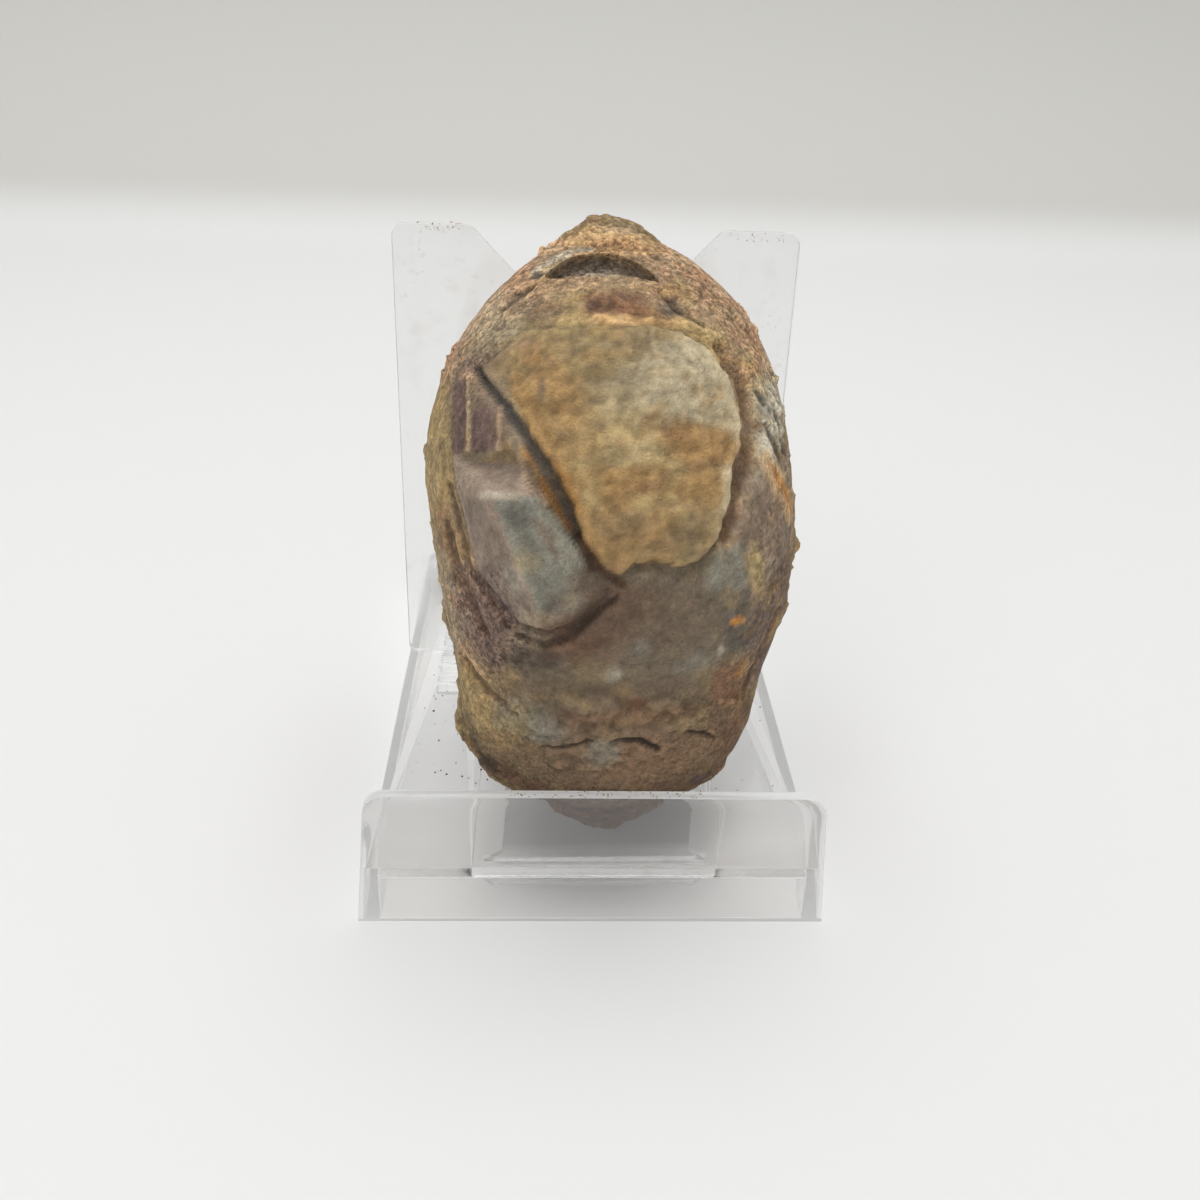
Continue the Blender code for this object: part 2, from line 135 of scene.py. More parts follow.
def strokes(points: Array, size: float, turn: float, salt: int = 0) -> Array:
    """Noise drawn out twice along one direction of the front, turn degrees up from x."""
    angle = math.radians(turn) + 0.5 * rough(points, 12.0, 1, salt + 7)
    along = points[:, 0] * np.cos(angle) + points[:, 2] * np.sin(angle)
    over = points[:, 2] * np.cos(angle) - points[:, 0] * np.sin(angle)
    return rough(np.stack((along / 2, points[:, 1], over), axis=1), size, 3, salt)


def ridges(points: Array, size: float, octaves: int = 3, salt: int = 0) -> Array:
    """Sharp crests where the noise crosses zero: 1 minus twice its absolute value."""
    return 1 - 2 * np.abs(rough(points, size, octaves, salt))


def grains(points: Array, size: float, salt: int = 0) -> tuple[Array, Array]:
    """Packed grains: distance from each place to the nearest of the scattered grain centres.

    Args:
        points: places in mm, shape (n, 3).
        size: a grain's width in mm.
        salt: which scatter.

    Returns:
        The distance in grain widths, and a random shade for each grain.
    """
    scaled = points / size
    cell = np.floor(scaled)
    nearest = np.full(len(points), 9.0)
    shade = np.zeros(len(points))
    for step in np.ndindex(3, 3, 3):
        home = cell + np.array(step) - 1
        bits = scramble(home, salt)
        jitter = np.stack([(bits >> np.uint32(shift)) & np.uint32(1023) for shift in (0, 10, 20)], axis=1)
        away = np.linalg.norm(home + jitter / 1023.0 - scaled, axis=1)
        closer = away < nearest
        nearest = np.where(closer, away, nearest)
        shade = np.where(closer, (bits >> np.uint32(5) & np.uint32(255)) / 255.0, shade)
    return nearest, shade


def along_path(x: Array, z: Array, path: tuple) -> tuple[Array, Array]:
    """Distance from places to a broken line, and how far along it the nearest point lies.

    Args:
        x: places across.
        z: places up.
        path: corners (x, z) of the line.

    Returns:
        The distance, and the share of the line's length, from 0 to 1.
    """
    corners = np.asarray(path, dtype=float)
    starts, spans = corners[:-1], np.diff(corners, axis=0)
    lengths = np.hypot(spans[:, 0], spans[:, 1])
    offset = np.stack((x, z), axis=1)[:, None, :] - starts[None]
    share = np.clip((offset * spans).sum(-1) / lengths**2, 0, 1)
    gap = np.linalg.norm(offset - share[..., None] * spans, axis=-1)
    best = gap.argmin(axis=1)
    rows = np.arange(len(x))
    run = np.concatenate(([0], np.cumsum(lengths)[:-1]))[best] + share[rows, best] * lengths[best]
    return gap[rows, best], run / lengths.sum()


def inside_outline(x: Array, z: Array, outline: tuple) -> Array:
    """Depth inside a closed outline, negative outside: distance to its edge, signed by crossings."""
    corners = np.asarray(outline, dtype=float)
    gap, _ = along_path(x, z, tuple(map(tuple, np.vstack((corners, corners[:1])))))
    following = np.roll(corners, -1, axis=0)
    low, high = corners[None, :, 1] > z[:, None], following[None, :, 1] > z[:, None]
    rise = following[:, 1] - corners[:, 1]
    lean = (following[:, 0] - corners[:, 0]) / np.where(rise == 0, 1e-9, rise)
    cross = corners[None, :, 0] + (z[:, None] - corners[None, :, 1]) * lean[None]
    crossings = ((low != high) & (x[:, None] < cross)).sum(axis=1)
    return np.where(crossings % 2 == 1, gap, -gap)


def through_knots(knots: tuple, share: Array) -> Array:
    """Values at a share of the way along evenly spaced knots: a smooth cubic through four at a time."""
    values = np.asarray(knots)
    last = len(values) - 1
    place = np.clip(share, 0.0, 1.0) * last
    index = np.minimum(place.astype(int), last - 1)
    step = place - index
    ends = ([2 * values[0] - values[1]], values, [2 * values[-1] - values[-2]])
    p0, p1, p2, p3 = (np.concatenate(ends)[index + offset] for offset in range(4))
    cubic = 2 * p1 + (p2 - p0) * step + (2 * p0 - 5 * p1 + 4 * p2 - p3) * step**2
    return (cubic + (3 * p1 - p0 - 3 * p2 + p3) * step**3) / 2


def closed_faces(rows: int, columns: int) -> list:
    """Faces of a closed surface: rings of points between a bottom point and a top point.

    Args:
        rows: rings between the two end points.
        columns: points in a ring, in order round the axis.

    Returns:
        Point numbers of each face, wound to face outwards.
    """
    grid = 1 + np.arange(rows * columns).reshape(rows, columns)
    turned = np.roll(grid, -1, axis=1)
    quads = np.stack((grid[:-1], turned[:-1], turned[1:], grid[1:]), axis=-1).reshape(-1, 4)
    last = 1 + rows * columns
    foot = np.stack((np.zeros(columns, dtype=int), turned[0], grid[0]), axis=1)
    crown = np.stack((grid[-1], turned[-1], np.full(columns, last)), axis=1)
    return quads.tolist() + foot.tolist() + crown.tolist()


def scene_object(name: str, data: bpy.types.ID) -> bpy.types.Object:
    """Put a mesh, a lamp or a camera into the scene; a mesh is shaded smooth."""
    if isinstance(data, bpy.types.Mesh):
        data.polygons.foreach_set("use_smooth", [True] * len(data.polygons))
        data.update()
    made = bpy.data.objects.new(name, data)
    bpy.context.scene.collection.objects.link(made)
    return made


def mesh_object(name: str, points: Array, faces: list) -> bpy.types.Object:
    """Put points, in metres, and faces into a new object in the scene."""
    mesh = bpy.data.meshes.new(name)
    mesh.from_pydata(points.tolist(), [], faces)
    return scene_object(name, mesh)


def note_points(piece: bpy.types.Object, name: str, values: Array) -> None:
    """Keep one number, or one colour and its alpha, for each point, as an attribute of the mesh."""
    kind, key = ("FLOAT", "value") if values.ndim == 1 else ("FLOAT_COLOR", "color")
    piece.data.attributes.new(name, kind, "POINT").data.foreach_set(key, values.ravel())


def seat_piece(piece: bpy.types.Object, slot: str, *replaced: str) -> None:
    """Ride a finished piece on the body, log the name of its finish and hide the nodes that it stands for."""
    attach(piece, BODY)
    if replaced:
        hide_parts(*replaced)
    log.info("%s: %d faces, finish %s", piece.name, len(piece.data.polygons), slot)


# ---------------------------------------------------------------- colours, patches and lines


class Hue(Enum):
    """The stone's colours, as red, green and blue of 255 in plain daylight."""

    GOLD = (236, 193, 136)
    TAN = (196, 164, 132)
    PINK = (184, 142, 110)
    OCHRE = (172, 136, 88)
    ORANGE = (206, 138, 60)
    CREAM = (196, 181, 149)
    STRAW = (192, 166, 116)
    OLIVE = (164, 142, 101)
    DRAB = (133, 119, 100)
    UMBER = (124, 103, 85)
    PURPLE = (116, 94, 87)
    MAUVE = (156, 138, 122)
    SLATE = (88, 85, 82)
    SAGE = (145, 142, 127)
    CHALK = (208, 200, 180)
    RUST = (146, 106, 78)
    LIVER = (118, 88, 70)
    INK = (104, 98, 93)
    BLACK = (58, 50, 45)

    @property
    def pigment(self) -> Array:
        """The colour as linear light."""
        share = np.asarray(self.value) / 255.0
        return np.where(share < 0.04045, share / 12.92, ((share + 0.055) / 1.055) ** 2.4)


class Side(Enum):
    """Which way a mark on the stone faces, as a direction in its own frame."""

    FRONT = (0.0, -1.0, 0.0)
    BACK = (0.0, 1.0, 0.0)
    LEFT = (-1.0, 0.0, 0.0)
    RIGHT = (1.0, 0.0, 0.0)


@dataclass(frozen=True)
class Stain:
    """A patch of one colour: its middle (across, up) in mm, half sizes, strength and turn."""

    hue: Hue
    middle: tuple[float, float]
    reach: tuple[float, float]
    strength: float = 0.8
    turn: float = 0.0
    ragged: float = 0.45
    softness: float = 0.45
    side: Side = Side.FRONT
    zone: str = ""  # the kind of surface that it keeps to
    squareness: float = 2.0

    def weight(self, across: Array, up: Array, facing: Array, blur: Array) -> Array:
        """How strongly the patch covers each place.

        The distance from the middle is measured in half sizes along the patch's own turned
        axes, pushed in and out by noise, and fades out over the softness.

        Args:
            across: places across, in mm.
            up: places up, in mm.
            facing: how squarely each place faces the patch's side, from -1 to 1.
            blur: ragged noise of about -1 to 1.

        Returns:
            Cover from 0 to the patch's strength.
        """
        turn = math.radians(self.turn)
        east, north = across - self.middle[0], up - self.middle[1]
        long = (east * math.cos(turn) + north * math.sin(turn)) / self.reach[0]
        wide = (north * math.cos(turn) - east * math.sin(turn)) / self.reach[1]
        edge = (np.abs(long) ** self.squareness + np.abs(wide) ** self.squareness) ** (1 / self.squareness)
        edge += self.ragged * blur
        cover = 1 - smooth(1 - self.softness, 1 + self.softness, edge)
        return self.strength * cover * smooth(0.0, 0.35, facing)


def patches(*rows: tuple, **common: object) -> tuple[Stain, ...]:
    """Stains from short rows.

    Args:
        rows: hue, across, up, both half sizes, strength and then turn, raggedness and softness.
        common: zone, side or squareness that all of them share.

    Returns:
        One stain for each row, in order.
    """
    return tuple(Stain(row[0], row[1:3], row[3:5], *row[5:], **common) for row in rows)


@dataclass(frozen=True)
class Seam:
    """A line on the front: its colour, path (x, z), half width, depth, strength and shape."""

    hue: Hue
    path: tuple[tuple[float, float], ...]
    width: float
    depth: float = 0.0
    strength: float = 0.9
    taper: float = 0.6
    widest: float = 0.5

    def spread(self, x: Array, z: Array, wander: Array) -> Array:
        """Distance from the line in half widths, which narrow towards both ends."""
        gap, share = along_path(x, z, self.path)
        away = np.abs(share - self.widest) / max(self.widest, 1 - self.widest)
        return gap / (self.width * (1 - self.taper * away)) + 0.35 * wander


# ---------------------------------------------------------------- the stone


@dataclass
class Nodule:
    """The rusty stone: a swollen body with a spalled plate, a chunk, a crack, a slit and a toe.

    Sizes are in mm and angles in degrees, in the stone's own frame where nothing else is said.
    """

    length: float = 104.0
    lean: float = 20.0
    side_lean: float = -0.8
    middle: tuple = (1.2, 33.2, 50.4)  # in the stand's frame
    # half widths at nine even levels from foot to top
    left: tuple = (41.5, 37.0, 30.5, 29.5, 30.5, 32.5, 33.0, 32.0, 27.5)
    right: tuple = (42.0, 37.5, 33.0, 33.5, 33.5, 33.5, 34.5, 35.5, 33.5)
    front: tuple = (42.0, 32.5, 31.5, 36.5, 39.0, 40.0, 37.0, 30.0, 22.0)
    back: tuple = (14.0, 20.0, 27.0, 33.0, 38.0, 39.0, 38.0, 34.0, 28.0)
    about: tuple = (33.0, 38.0)  # half width and half depth of the ellipsoid that is nearest
    section_power: float = 2.2
    columns: int = 340
    rows: int = 290
    crowding: float = 0.35  # how much closer the columns stand at the front
    brightness: float = 1.1
    weathering: float = 1.2
    weathering_size: float = 11.0
    plate_rise: tuple = (0.4, 2.8)
    plate_edge: float = 0.9
    slit_middle: tuple = (-1.0, 44.0)
    slit_reach: tuple = (9.6, 1.9)
    slit_bend: float = 2.8
    slit_into: tuple = (0.0, 4.2, -0.9)
    softening: float = 0.8  # share of the way to the neighbours' mean in one pass
    sand: float = 1.1  # a grain's width in the crust
    ledge: float = 7.0  # height of a ledge on the flanks
    flatness: float = 1.4  # of a lump's bell: how fast it falls off
    crest: float = 0.12  # height over the neighbourhood at which the painted highlight on a crest is at its brightest
    # bands over which one kind of surface turns into another, in mm up or across from the middle
    knob_foot: tuple = (47.0, 49.0)
    knob_side: tuple = (7.0, 10.0)
    crust_foot: tuple = (22.0, 30.0)
    flake_foot: tuple = (23.0, 26.0)
    flake_side: float = 5.8
    calm_top: tuple = (2.0, -8.0)
    calm_side: tuple = (15.0, 24.0)
    calm_foot: tuple = (-30.0, -22.0)
    shelf_top: tuple = (-22.5, -25.5)
    shelf_side: tuple = (14.0, 20.0)
    shelf_foot: tuple = (-40.0, -30.0)
    toe: tuple = (-45.0, -49.0)
    blunted: tuple = ((-28.0, -26.0), (0.0, -3.0), (-18.0, -16.0), (19.0, 17.0))  # left, right, foot, top
    clearance: float = 0.12
    foremost: float = -9.8  # nothing stands further out over the lip
    highest: float = 101.9  # nor higher than this

    lumps: tuple = (
        ((-0.5, -8, -51), 8, 2.6),  # the toe it stands on
        ((6, -34, -13), 15, -3.4),  # hollow under the plate
        ((-20, -26, -16), 9, -2.2), ((20, -28, -11), 6, -1.2),
        ((22.5, -26, 19), 5, -1.4),  # the furrow along the plate's right edge
        ((21.5, -29, 8), 5, -1.6),
        ((0.7, 3, 51.5), 8, 3.1),  # the knob on top
        ((-10.5, 0, 46.6), 4, 1.4), ((-5, 0, 50), 4, 0.8),
        ((5.5, 0, 50), 3.5, 0.5), ((17, 0, 45), 6, -1.5),
        ((-19, 0, 41), 9, -0.9), ((-31, -2, 16), 9, -0.7),
        ((-30, -2, -2), 6, 0.5), ((29, -4, -19), 5, 0.4),
        ((26, -8, -35), 8, -1.5),  # the foot narrows
        ((-20, -12, -45), 7, 1.3),  # corners of the foot
        ((19, -12, -45), 7, 1.3),
        ((0, -24, -28), 10, 1.2),  # swelling of the lower face
        ((-27.5, -2, -17), 3.6, 1.3),  # nubs on the left outline
        ((-25.5, -3, -35), 4, 1), ((-30.5, -5, 13), 4.6, 0.8),
        ((-27, -2, 30), 4, 1.7),
        ((-20.5, -28, 21), 5, -1.5),  # the recess over the chunk
        ((-9, -36, -17.5), 6, -2.4),  # under the chunk's tip
        ((-22, -26, -9), 6, -1.8), ((0.7, 0, 50), 12, 1),
        ((32, -8, -3), 4, 0.9),  # nubs on the right outline
        ((32.5, -6, -3), 1.5, 1.8),  # a thorn
        ((24.5, -3, 38), 9, 0.6),
        ((28, 10, -26), 10, 1.8),  # lumps and pits of the sides and back
        ((-24, 22, 18), 12, 2), ((8, 38, -14), 13, 1.6),
        ((-8, 33, 30), 11, -1.8), ((20, 28, 20), 9, -1.6),
        ((-20, 28, -24), 10, -1.6),
    )
    plate_outline: tuple = (
        (-20.0, 27.5), (-13.0, 33.2), (-3.8, 33.4), (6.4, 33.6), (10.2, 32.8), (13.4, 30.8), (15.8, 27.6),
        (17.5, 24.0), (18.5, 20.5), (18.5, 15.4), (17.2, 13.2), (16.6, 9.8), (15.6, 4.8), (14.9, 1.4),
        (12.5, -1.6), (9.6, -2.5), (5.8, -1.5), (3.1, -1.7), (0.9, -3.8), (-0.6, -3.2), (-4.2, 1.4),
        (-5.6, 6.0), (-8.0, 11.4), (-10.8, 15.6), (-15.3, 22.8),
    )
    block_corners: tuple = (
        (-25.0, -27.0, 14.2), (-13.9, -34.5, 13.9), (-24.2, -30.5, 9.6), (-18.0, -43.0, 8.0),
        (-11.6, -43.2, 8.3), (-20.8, -32.4, -3.5), (-14.4, -33.6, -11.7), (-10.0, -41.6, -12.2),
        (-6.8, -41.6, -11.0), (-4.7, -41.0, -8.6), (-8.2, -41.2, 1.9), (-5.2, -38.6, 0.4),
        (0.4, -36.8, -5.4), (-20.0, -16.0, 12.0), (-8.0, -18.0, 12.0), (-14.0, -18.0, -11.0),
        (-2.0, -20.0, -7.0),
    )

    seams: tuple = (
        Seam(Hue.OCHRE, ((-15, 25.5), (-10.6, 17), (-7.2, 10.6), (-3.6, 2)), 2.2, 0, 0.8, 0.5),
        Seam(Hue.ORANGE, ((-9.4, 14.2), (-6.8, 10.3), (-5, 6)), 0.8, 0, 0.3, 0.6),
        Seam(Hue.INK, ((-21.4, 27.2), (-18.8, 24), (-15.9, 20.6), (-13.4, 17.2), (-12, 14.6), (-9.9, 11.8),
                       (-8.6, 9.6), (-7.4, 7.2), (-6.5, 4.9), (-5.4, 2)), 1.3, 1.1, 0.82, 0.6, 0.62),
        Seam(Hue.LIVER, ((-5.4, 2.4), (-4.2, 0.2), (-2.8, -2), (-1, -3.4), (1.4, -5)), 0.9, 0.9, 0.8, 0.4),
        Seam(Hue.ORANGE, ((-13.9, 15.5), (-12, 12.5), (-9.9, 9.2), (-8.1, 5.9), (-6.4, 3.1)),
             0.36, 0, 0.6, 0.5),
        Seam(Hue.TAN, ((-14.2, 14), (-12.8, 11.6), (-11, 8.4)), 0.3, 0, 0.5, 0.4),
        Seam(Hue.LIVER, ((-9.8, 5), (-8.6, 2.4), (-7.4, -0.6)), 0.6, 0, 0.5, 0.4),
        Seam(Hue.TAN, ((-22.7, 26.5), (-22.4, 20), (-21.9, 14.4)), 0.3, -0.25, 0.5, 0.2),
        Seam(Hue.TAN, ((-17.4, 21.5), (-17.1, 14.6)), 0.35, -0.25, 0.4, 0.2),
        Seam(Hue.BLACK, ((-10.9, -34.6), (-6.8, -33.4), (-2.4, -32.5)), 0.5, 0.5, 0.8),
        Seam(Hue.BLACK, ((0.5, -32.5), (5, -32.5), (8, -34.3)), 0.7, 0.8, 0.9, 0.6, 0.7),
        Seam(Hue.BLACK, ((12.8, -32), (16.2, -32.9), (18.8, -34.6)), 0.45, 0.5, 0.8),
        Seam(Hue.RUST, ((17.6, 31.2), (21, 25.4), (22.2, 18.4), (20.4, 12.4), (18.6, 7), (17.4, 2)),
             1.9, 1.3, 0.5, 0.4),
        Seam(Hue.BLACK, ((14.4, 0.6), (15.8, 1.6)), 0.7, 0.5, 0.7),
        Seam(Hue.GOLD, ((24.8, 13.6), (27, 9.8), (29, 7.2), (30.4, 3.4)), 2, 0, 0.55, 0.4),
        Seam(Hue.ORANGE, ((25.6, 12.8), (27.3, 9.8), (29.2, 7.4), (30.6, 4.4)), 0.7, 0, 0.85),
        # painted shadow along the chunk's lower edge, over a shallow groove
        Seam(Hue.BLACK, ((-15, -14), (-10.4, -15.6), (-6.6, -14), (-3.8, -10.8), (0.6, -7.2)),
             0.9, 0.7, 0.4, 0.6),
        # painted shade along the chunk's left edge
        Seam(Hue.LIVER, ((-25.6, 9), (-22.6, -3.6), (-16.2, -12.6)), 0.8, 0.5, 0.5, 0.3),
        Seam(Hue.CHALK, ((-12.6, 43.6), (-10.1, 45.3), (-5.7, 47.3), (-2.6, 47.6)), 0.55, 0, 0.75, 0.5, 0.6),
        Seam(Hue.SLATE, ((-12.6, 42.6), (-11, 43.2)), 0.8, 0.4, 0.8),
        Seam(Hue.UMBER, ((-17.6, 37.2), (-14.5, 39.7), (-12.2, 41.2)), 0.9, 0.6, 0.7),
        Seam(Hue.LIVER, ((7.9, 40), (11.1, 36.9), (15.1, 34.4)), 0.7, 0.5, 0.45),
        Seam(Hue.SLATE, ((23.6, 24.2), (24.8, 22)), 0.7, 0.4, 0.7),
        Seam(Hue.SLATE, ((25, 19), (26.4, 16), (27.8, 13)), 0.6, 0.4, 0.75),
        Seam(Hue.SLATE, ((26.8, 21), (28, 18)), 0.4, 0.3, 0.6),
        Seam(Hue.SLATE, ((28, 16.6), (29, 13.4)), 0.5, 0.3, 0.6),
        Seam(Hue.LIVER, ((-26.4, 3), (-24.4, -6), (-20, -15)), 1.5, 0.7, 0.6),
        Seam(Hue.LIVER, ((-24, -21), (-20, -26), (-15, -29)), 0.9, 0.5, 0.5),
        Seam(Hue.LIVER, ((29, -12), (26.4, -20), (23.6, -28)), 1.2, 0.7, 0.6),
    )

    stains: tuple = (
        # broad grounds
        *patches((Hue.DRAB, 2, -12, 26, 16, 1), zone="off_plate"),
        *patches(
            (Hue.RUST, 8, -39, 20, 9, 0.35), (Hue.UMBER, 1, -36, 26, 13, 0.7),
            (Hue.STRAW, -29, 8, 4, 18, 0.7),
        ),
        *patches((Hue.MAUVE, 25, 4, 7, 12, 0.85), zone="off_plate"),
        # the knob and the rim of the slit
        *patches(
            # the gold on the knob is partly its colour, partly a painted highlight for light from above
            (Hue.GOLD, 1, 50.5, 12, 3.6, 1, 0, 0.25), (Hue.CHALK, 3, 51, 4, 1.2, 0.35),
            (Hue.RUST, 2, 48.2, 7.5, 1, 0.6), (Hue.TAN, -10, 47, 4, 2.4, 0.7),
            (Hue.CREAM, -19, 35.5, 6, 5, 0.5),
        ),
        *patches((Hue.STRAW, 15.6, 29, 2, 5.6, 0.6, -34), zone="off_plate"),
        *patches((Hue.CREAM, -9.6, 44.6, 3.6, 1, 0.6, 30)),
        # the domed cap between slit and plate
        *patches(
            (Hue.TAN, -2, 40, 13, 3.6, 0.5), (Hue.STRAW, -5.5, 37, 3, 3.4, 0.6),
            (Hue.RUST, 1.6, 36.8, 5.8, 2.6, 1, -4, 0.3),
        ),
        *patches((Hue.LIVER, -1.6, 36.8, 2.2, 1.9, 0.95, 0, 0.12, 0.25), squareness=3),
        *patches(
            (Hue.SLATE, 9.6, 37.2, 2, 2.1, 0.7, -30), (Hue.CHALK, -1, 42.9, 7, 0.4, 0.5, 0, 0.2),
            (Hue.CREAM, -18, 31.6, 6, 3.6, 0.3), (Hue.UMBER, -11, 36.4, 5, 2.4, 0.4),
            (Hue.UMBER, -7.4, 33.4, 3.4, 1.2, 0.25), (Hue.DRAB, -20.5, 30.5, 5, 3, 0.4),
            (Hue.PURPLE, -20, 28.2, 4.6, 1.5, 0.6, 10),
        ),
        # the pale plate
        *patches(
            (Hue.OLIVE, 2, 20, 22, 18, 0.75), (Hue.STRAW, 6, 10, 14, 12, 0.55),
            (Hue.CREAM, 11.5, 24.6, 7.4, 8, 0.95), (Hue.CREAM, 2.5, 23.4, 7, 3, 0.4, 20),
            # the first cream strip is partly the pale rim, partly a painted highlight where the plate's ledge
            # catches light
            (Hue.CREAM, 18, 19, 1.6, 8, 0.9, 6), (Hue.CREAM, 2, 14.5, 5, 2.6, 0.15),
            (Hue.CREAM, 16.8, 8.6, 2.4, 9, 1), (Hue.SAGE, 5.5, 28.4, 5, 1.8, 0.1),
            (Hue.DRAB, 2.4, 30.6, 5, 1.6, 0.35), (Hue.OCHRE, -9, 23, 5, 8, 0.75, 28),
            (Hue.RUST, -12.6, 29.6, 2.4, 2, 0.35), (Hue.OCHRE, 12.5, 15.4, 6, 2.8, 0.95, -12),
            (Hue.OCHRE, 12.4, 9.6, 3.2, 3.6, 0.8), (Hue.RUST, 8.6, 17, 3.2, 0.9, 0.4, -20),
            (Hue.RUST, 12.4, 12.8, 2.2, 0.8, 0.4), (Hue.OCHRE, 2.6, 10.4, 6, 2.6, 0.9),
            (Hue.RUST, 4.6, 9.6, 3, 0.9, 0.45), (Hue.OCHRE, 1.5, 1, 8, 5, 0.6), (Hue.UMBER, 6, 3, 9, 4, 0.35),
            (Hue.RUST, 0, -2.4, 2, 1.4, 0.35), (Hue.SLATE, -10.5, 23.5, 0.7, 1.8, 0.5), zone="plate",
        ),
        *patches(
            (Hue.GOLD, 3.5, 34.6, 10.5, 0.9, 0.9, -2, 0.25), (Hue.STRAW, -6.4, 34.4, 3, 1.6, 0.8, 20),
            (Hue.STRAW, 14.6, 32.2, 4.4, 1.8, 1, -40),
        ),
        # the left flank above the chunk
        *patches((Hue.DRAB, -20, 20, 5.6, 7, 0.9), (Hue.UMBER, -20, 23.6, 2.4, 3, 0.5)),
        *patches((Hue.PURPLE, -24, 20, 1.3, 6.2, 0.9, 2, 0.04, 0.12), squareness=5),
        *patches((Hue.PURPLE, -19.6, 17.8, 2.1, 3.3, 1, 2, 0.04, 0.12), squareness=6),
        *patches(
            (Hue.DRAB, -15.2, 17.4, 1.5, 4.4, 0.8, 30), (Hue.UMBER, -17, 17.4, 1.2, 4.4, 0.6),
            (Hue.UMBER, -11.2, 8.6, 1.3, 7, 0.6, 30, 0.25),
        ),
        # the broken chunk
        *patches((Hue.MAUVE, -18, 12.4, 14, 9, 1), zone="ledge"),
        *patches((Hue.MAUVE, -18, 0, 16, 24, 1), zone="left_face"),
        *patches((Hue.SAGE, -11, 0, 14, 22, 1), zone="right_face"),
        *patches((Hue.UMBER, -20, 12.8, 4, 1.4, 0.35, 10), zone="ledge"),
        *patches((Hue.UMBER, -24, 4, 1.8, 7, 0.4, 16), zone="left_face"),
        *patches(
            (Hue.UMBER, -27.4, -5, 2.6, 7, 0.5), (Hue.CHALK, -14.6, 7.8, 3, 0.6, 0.45, 0, 0.3),
            (Hue.CHALK, -12.8, -4.2, 1.6, 2.2, 0.4), (Hue.CHALK, -6.4, -9, 1.6, 1, 0.5),
            (Hue.SLATE, -12.2, 5.6, 1.9, 2.2, 0.45), (Hue.STRAW, -10.6, -0.8, 1.6, 1.8, 0.35),
            (Hue.CREAM, -5.6, -6.8, 1, 1.2, 0.6),
        ),
        # painted shade on the chunk's lower right face
        *patches((Hue.UMBER, -2, -3.4, 2.6, 4.4, 0.8, -50, 0.2), zone="right_face"),
        *patches((Hue.SLATE, -6.6, -10, 1.3, 0.7, 0.6)),
        # partly pale stone, partly a painted highlight on the chunk's rounded tip
        *patches((Hue.CREAM, -9.6, -10.8, 3.4, 2.4, 0.75), zone="chunk"),
        # right of the plate
        *patches(
            (Hue.CREAM, 25.8, 21, 3.6, 8.4, 1, -14, 0.3), (Hue.CHALK, 26.6, 20, 2.4, 6.4, 0.9, -16),
            (Hue.SLATE, 24.8, 21.6, 1.2, 1.8, 0.5), (Hue.OCHRE, 24, 18.8, 0.8, 0.5, 0.8),
            (Hue.UMBER, 24, 3, 4, 6, 0.4),
        ),
        *patches((Hue.SAGE, 18.6, -3.4, 4.4, 3.4, 0.85), zone="off_plate"),
        *patches((Hue.STRAW, 23.2, -4.6, 1.4, 4.6, 0.85, 14), (Hue.UMBER, 29.5, -8, 2.6, 7, 0.8)),
        # the hollow and the lower face
        *patches(
            # the hollow's dark colour, deepened by painted shadow under the plate's overhang and the chunk's
            # tip
            (Hue.LIVER, -3, -12, 9, 5.4, 0.9, 24), (Hue.BLACK, -1, -9.4, 6, 4, 0.4, 10),
            (Hue.UMBER, 4, -11, 10, 5, 0.55), zone="off_plate",
        ),
        *patches(
            (Hue.SLATE, 20.8, -13, 3.4, 5, 0.55, 10), (Hue.ORANGE, 20.4, -12.2, 1.4, 0.8, 0.8, 0, 0.2, 0.2),
            (Hue.CHALK, 17.9, -17.3, 0.6, 1.2, 0.6), (Hue.CHALK, 0.5, -20.5, 1.6, 1.4, 0.4),
            (Hue.SAGE, 4.6, -15.7, 1.4, 2, 0.45), (Hue.SAGE, 14, -19, 4, 2, 0.5),
            (Hue.PURPLE, -21, -12, 7, 7.5, 0.75), (Hue.BLACK, -11.6, -18.6, 4, 2.4, 0.55),
            (Hue.OLIVE, -3, -20, 3, 2.4, 0.35), (Hue.STRAW, -24, -30, 5, 8, 0.6),
            (Hue.SAGE, -13, -30, 5.5, 3.6, 0.7), (Hue.RUST, 4.5, -26, 2, 1.1, 0.7),
            (Hue.RUST, 4, -28.2, 13, 1.4, 0.35), (Hue.RUST, 20.5, -24, 3.4, 4.6, 0.75, 30),
            (Hue.PURPLE, 27, -20, 3, 11, 0.7, 14), (Hue.ORANGE, 22.4, -21.6, 0.9, 2.2, 0.35, -20),
            (Hue.RUST, 24, -31, 2.4, 4, 0.6, 14), (Hue.PINK, 10, -38, 11, 5.4, 0.15),
            (Hue.OLIVE, 13, -30.4, 4, 1.4, 0.4), (Hue.SAGE, -0.8, -35, 2.6, 2.8, 0.6),
            (Hue.PURPLE, 16.2, -42.8, 2, 1.4, 0.9), (Hue.LIVER, -15.6, -42.4, 6, 2.2, 0.8, -30),
            (Hue.LIVER, -19, -34.6, 3.4, 1.2, 0.5, 20), (Hue.BLACK, -21.6, -39.6, 4.2, 1.8, 0.55, -40),
            (Hue.BLACK, -24, -35, 1.6, 4, 0.45, 10), (Hue.LIVER, 22.6, -37.2, 2, 6, 0.75, 28),
            (Hue.BLACK, 25.6, -31, 1.4, 5, 0.45, 14), (Hue.STRAW, -15.4, -31, 2.4, 5, 0.45, -30),
            (Hue.RUST, -27, 1, 2.2, 4.5, 0.5),
        ),
        # sides and back
        *patches(
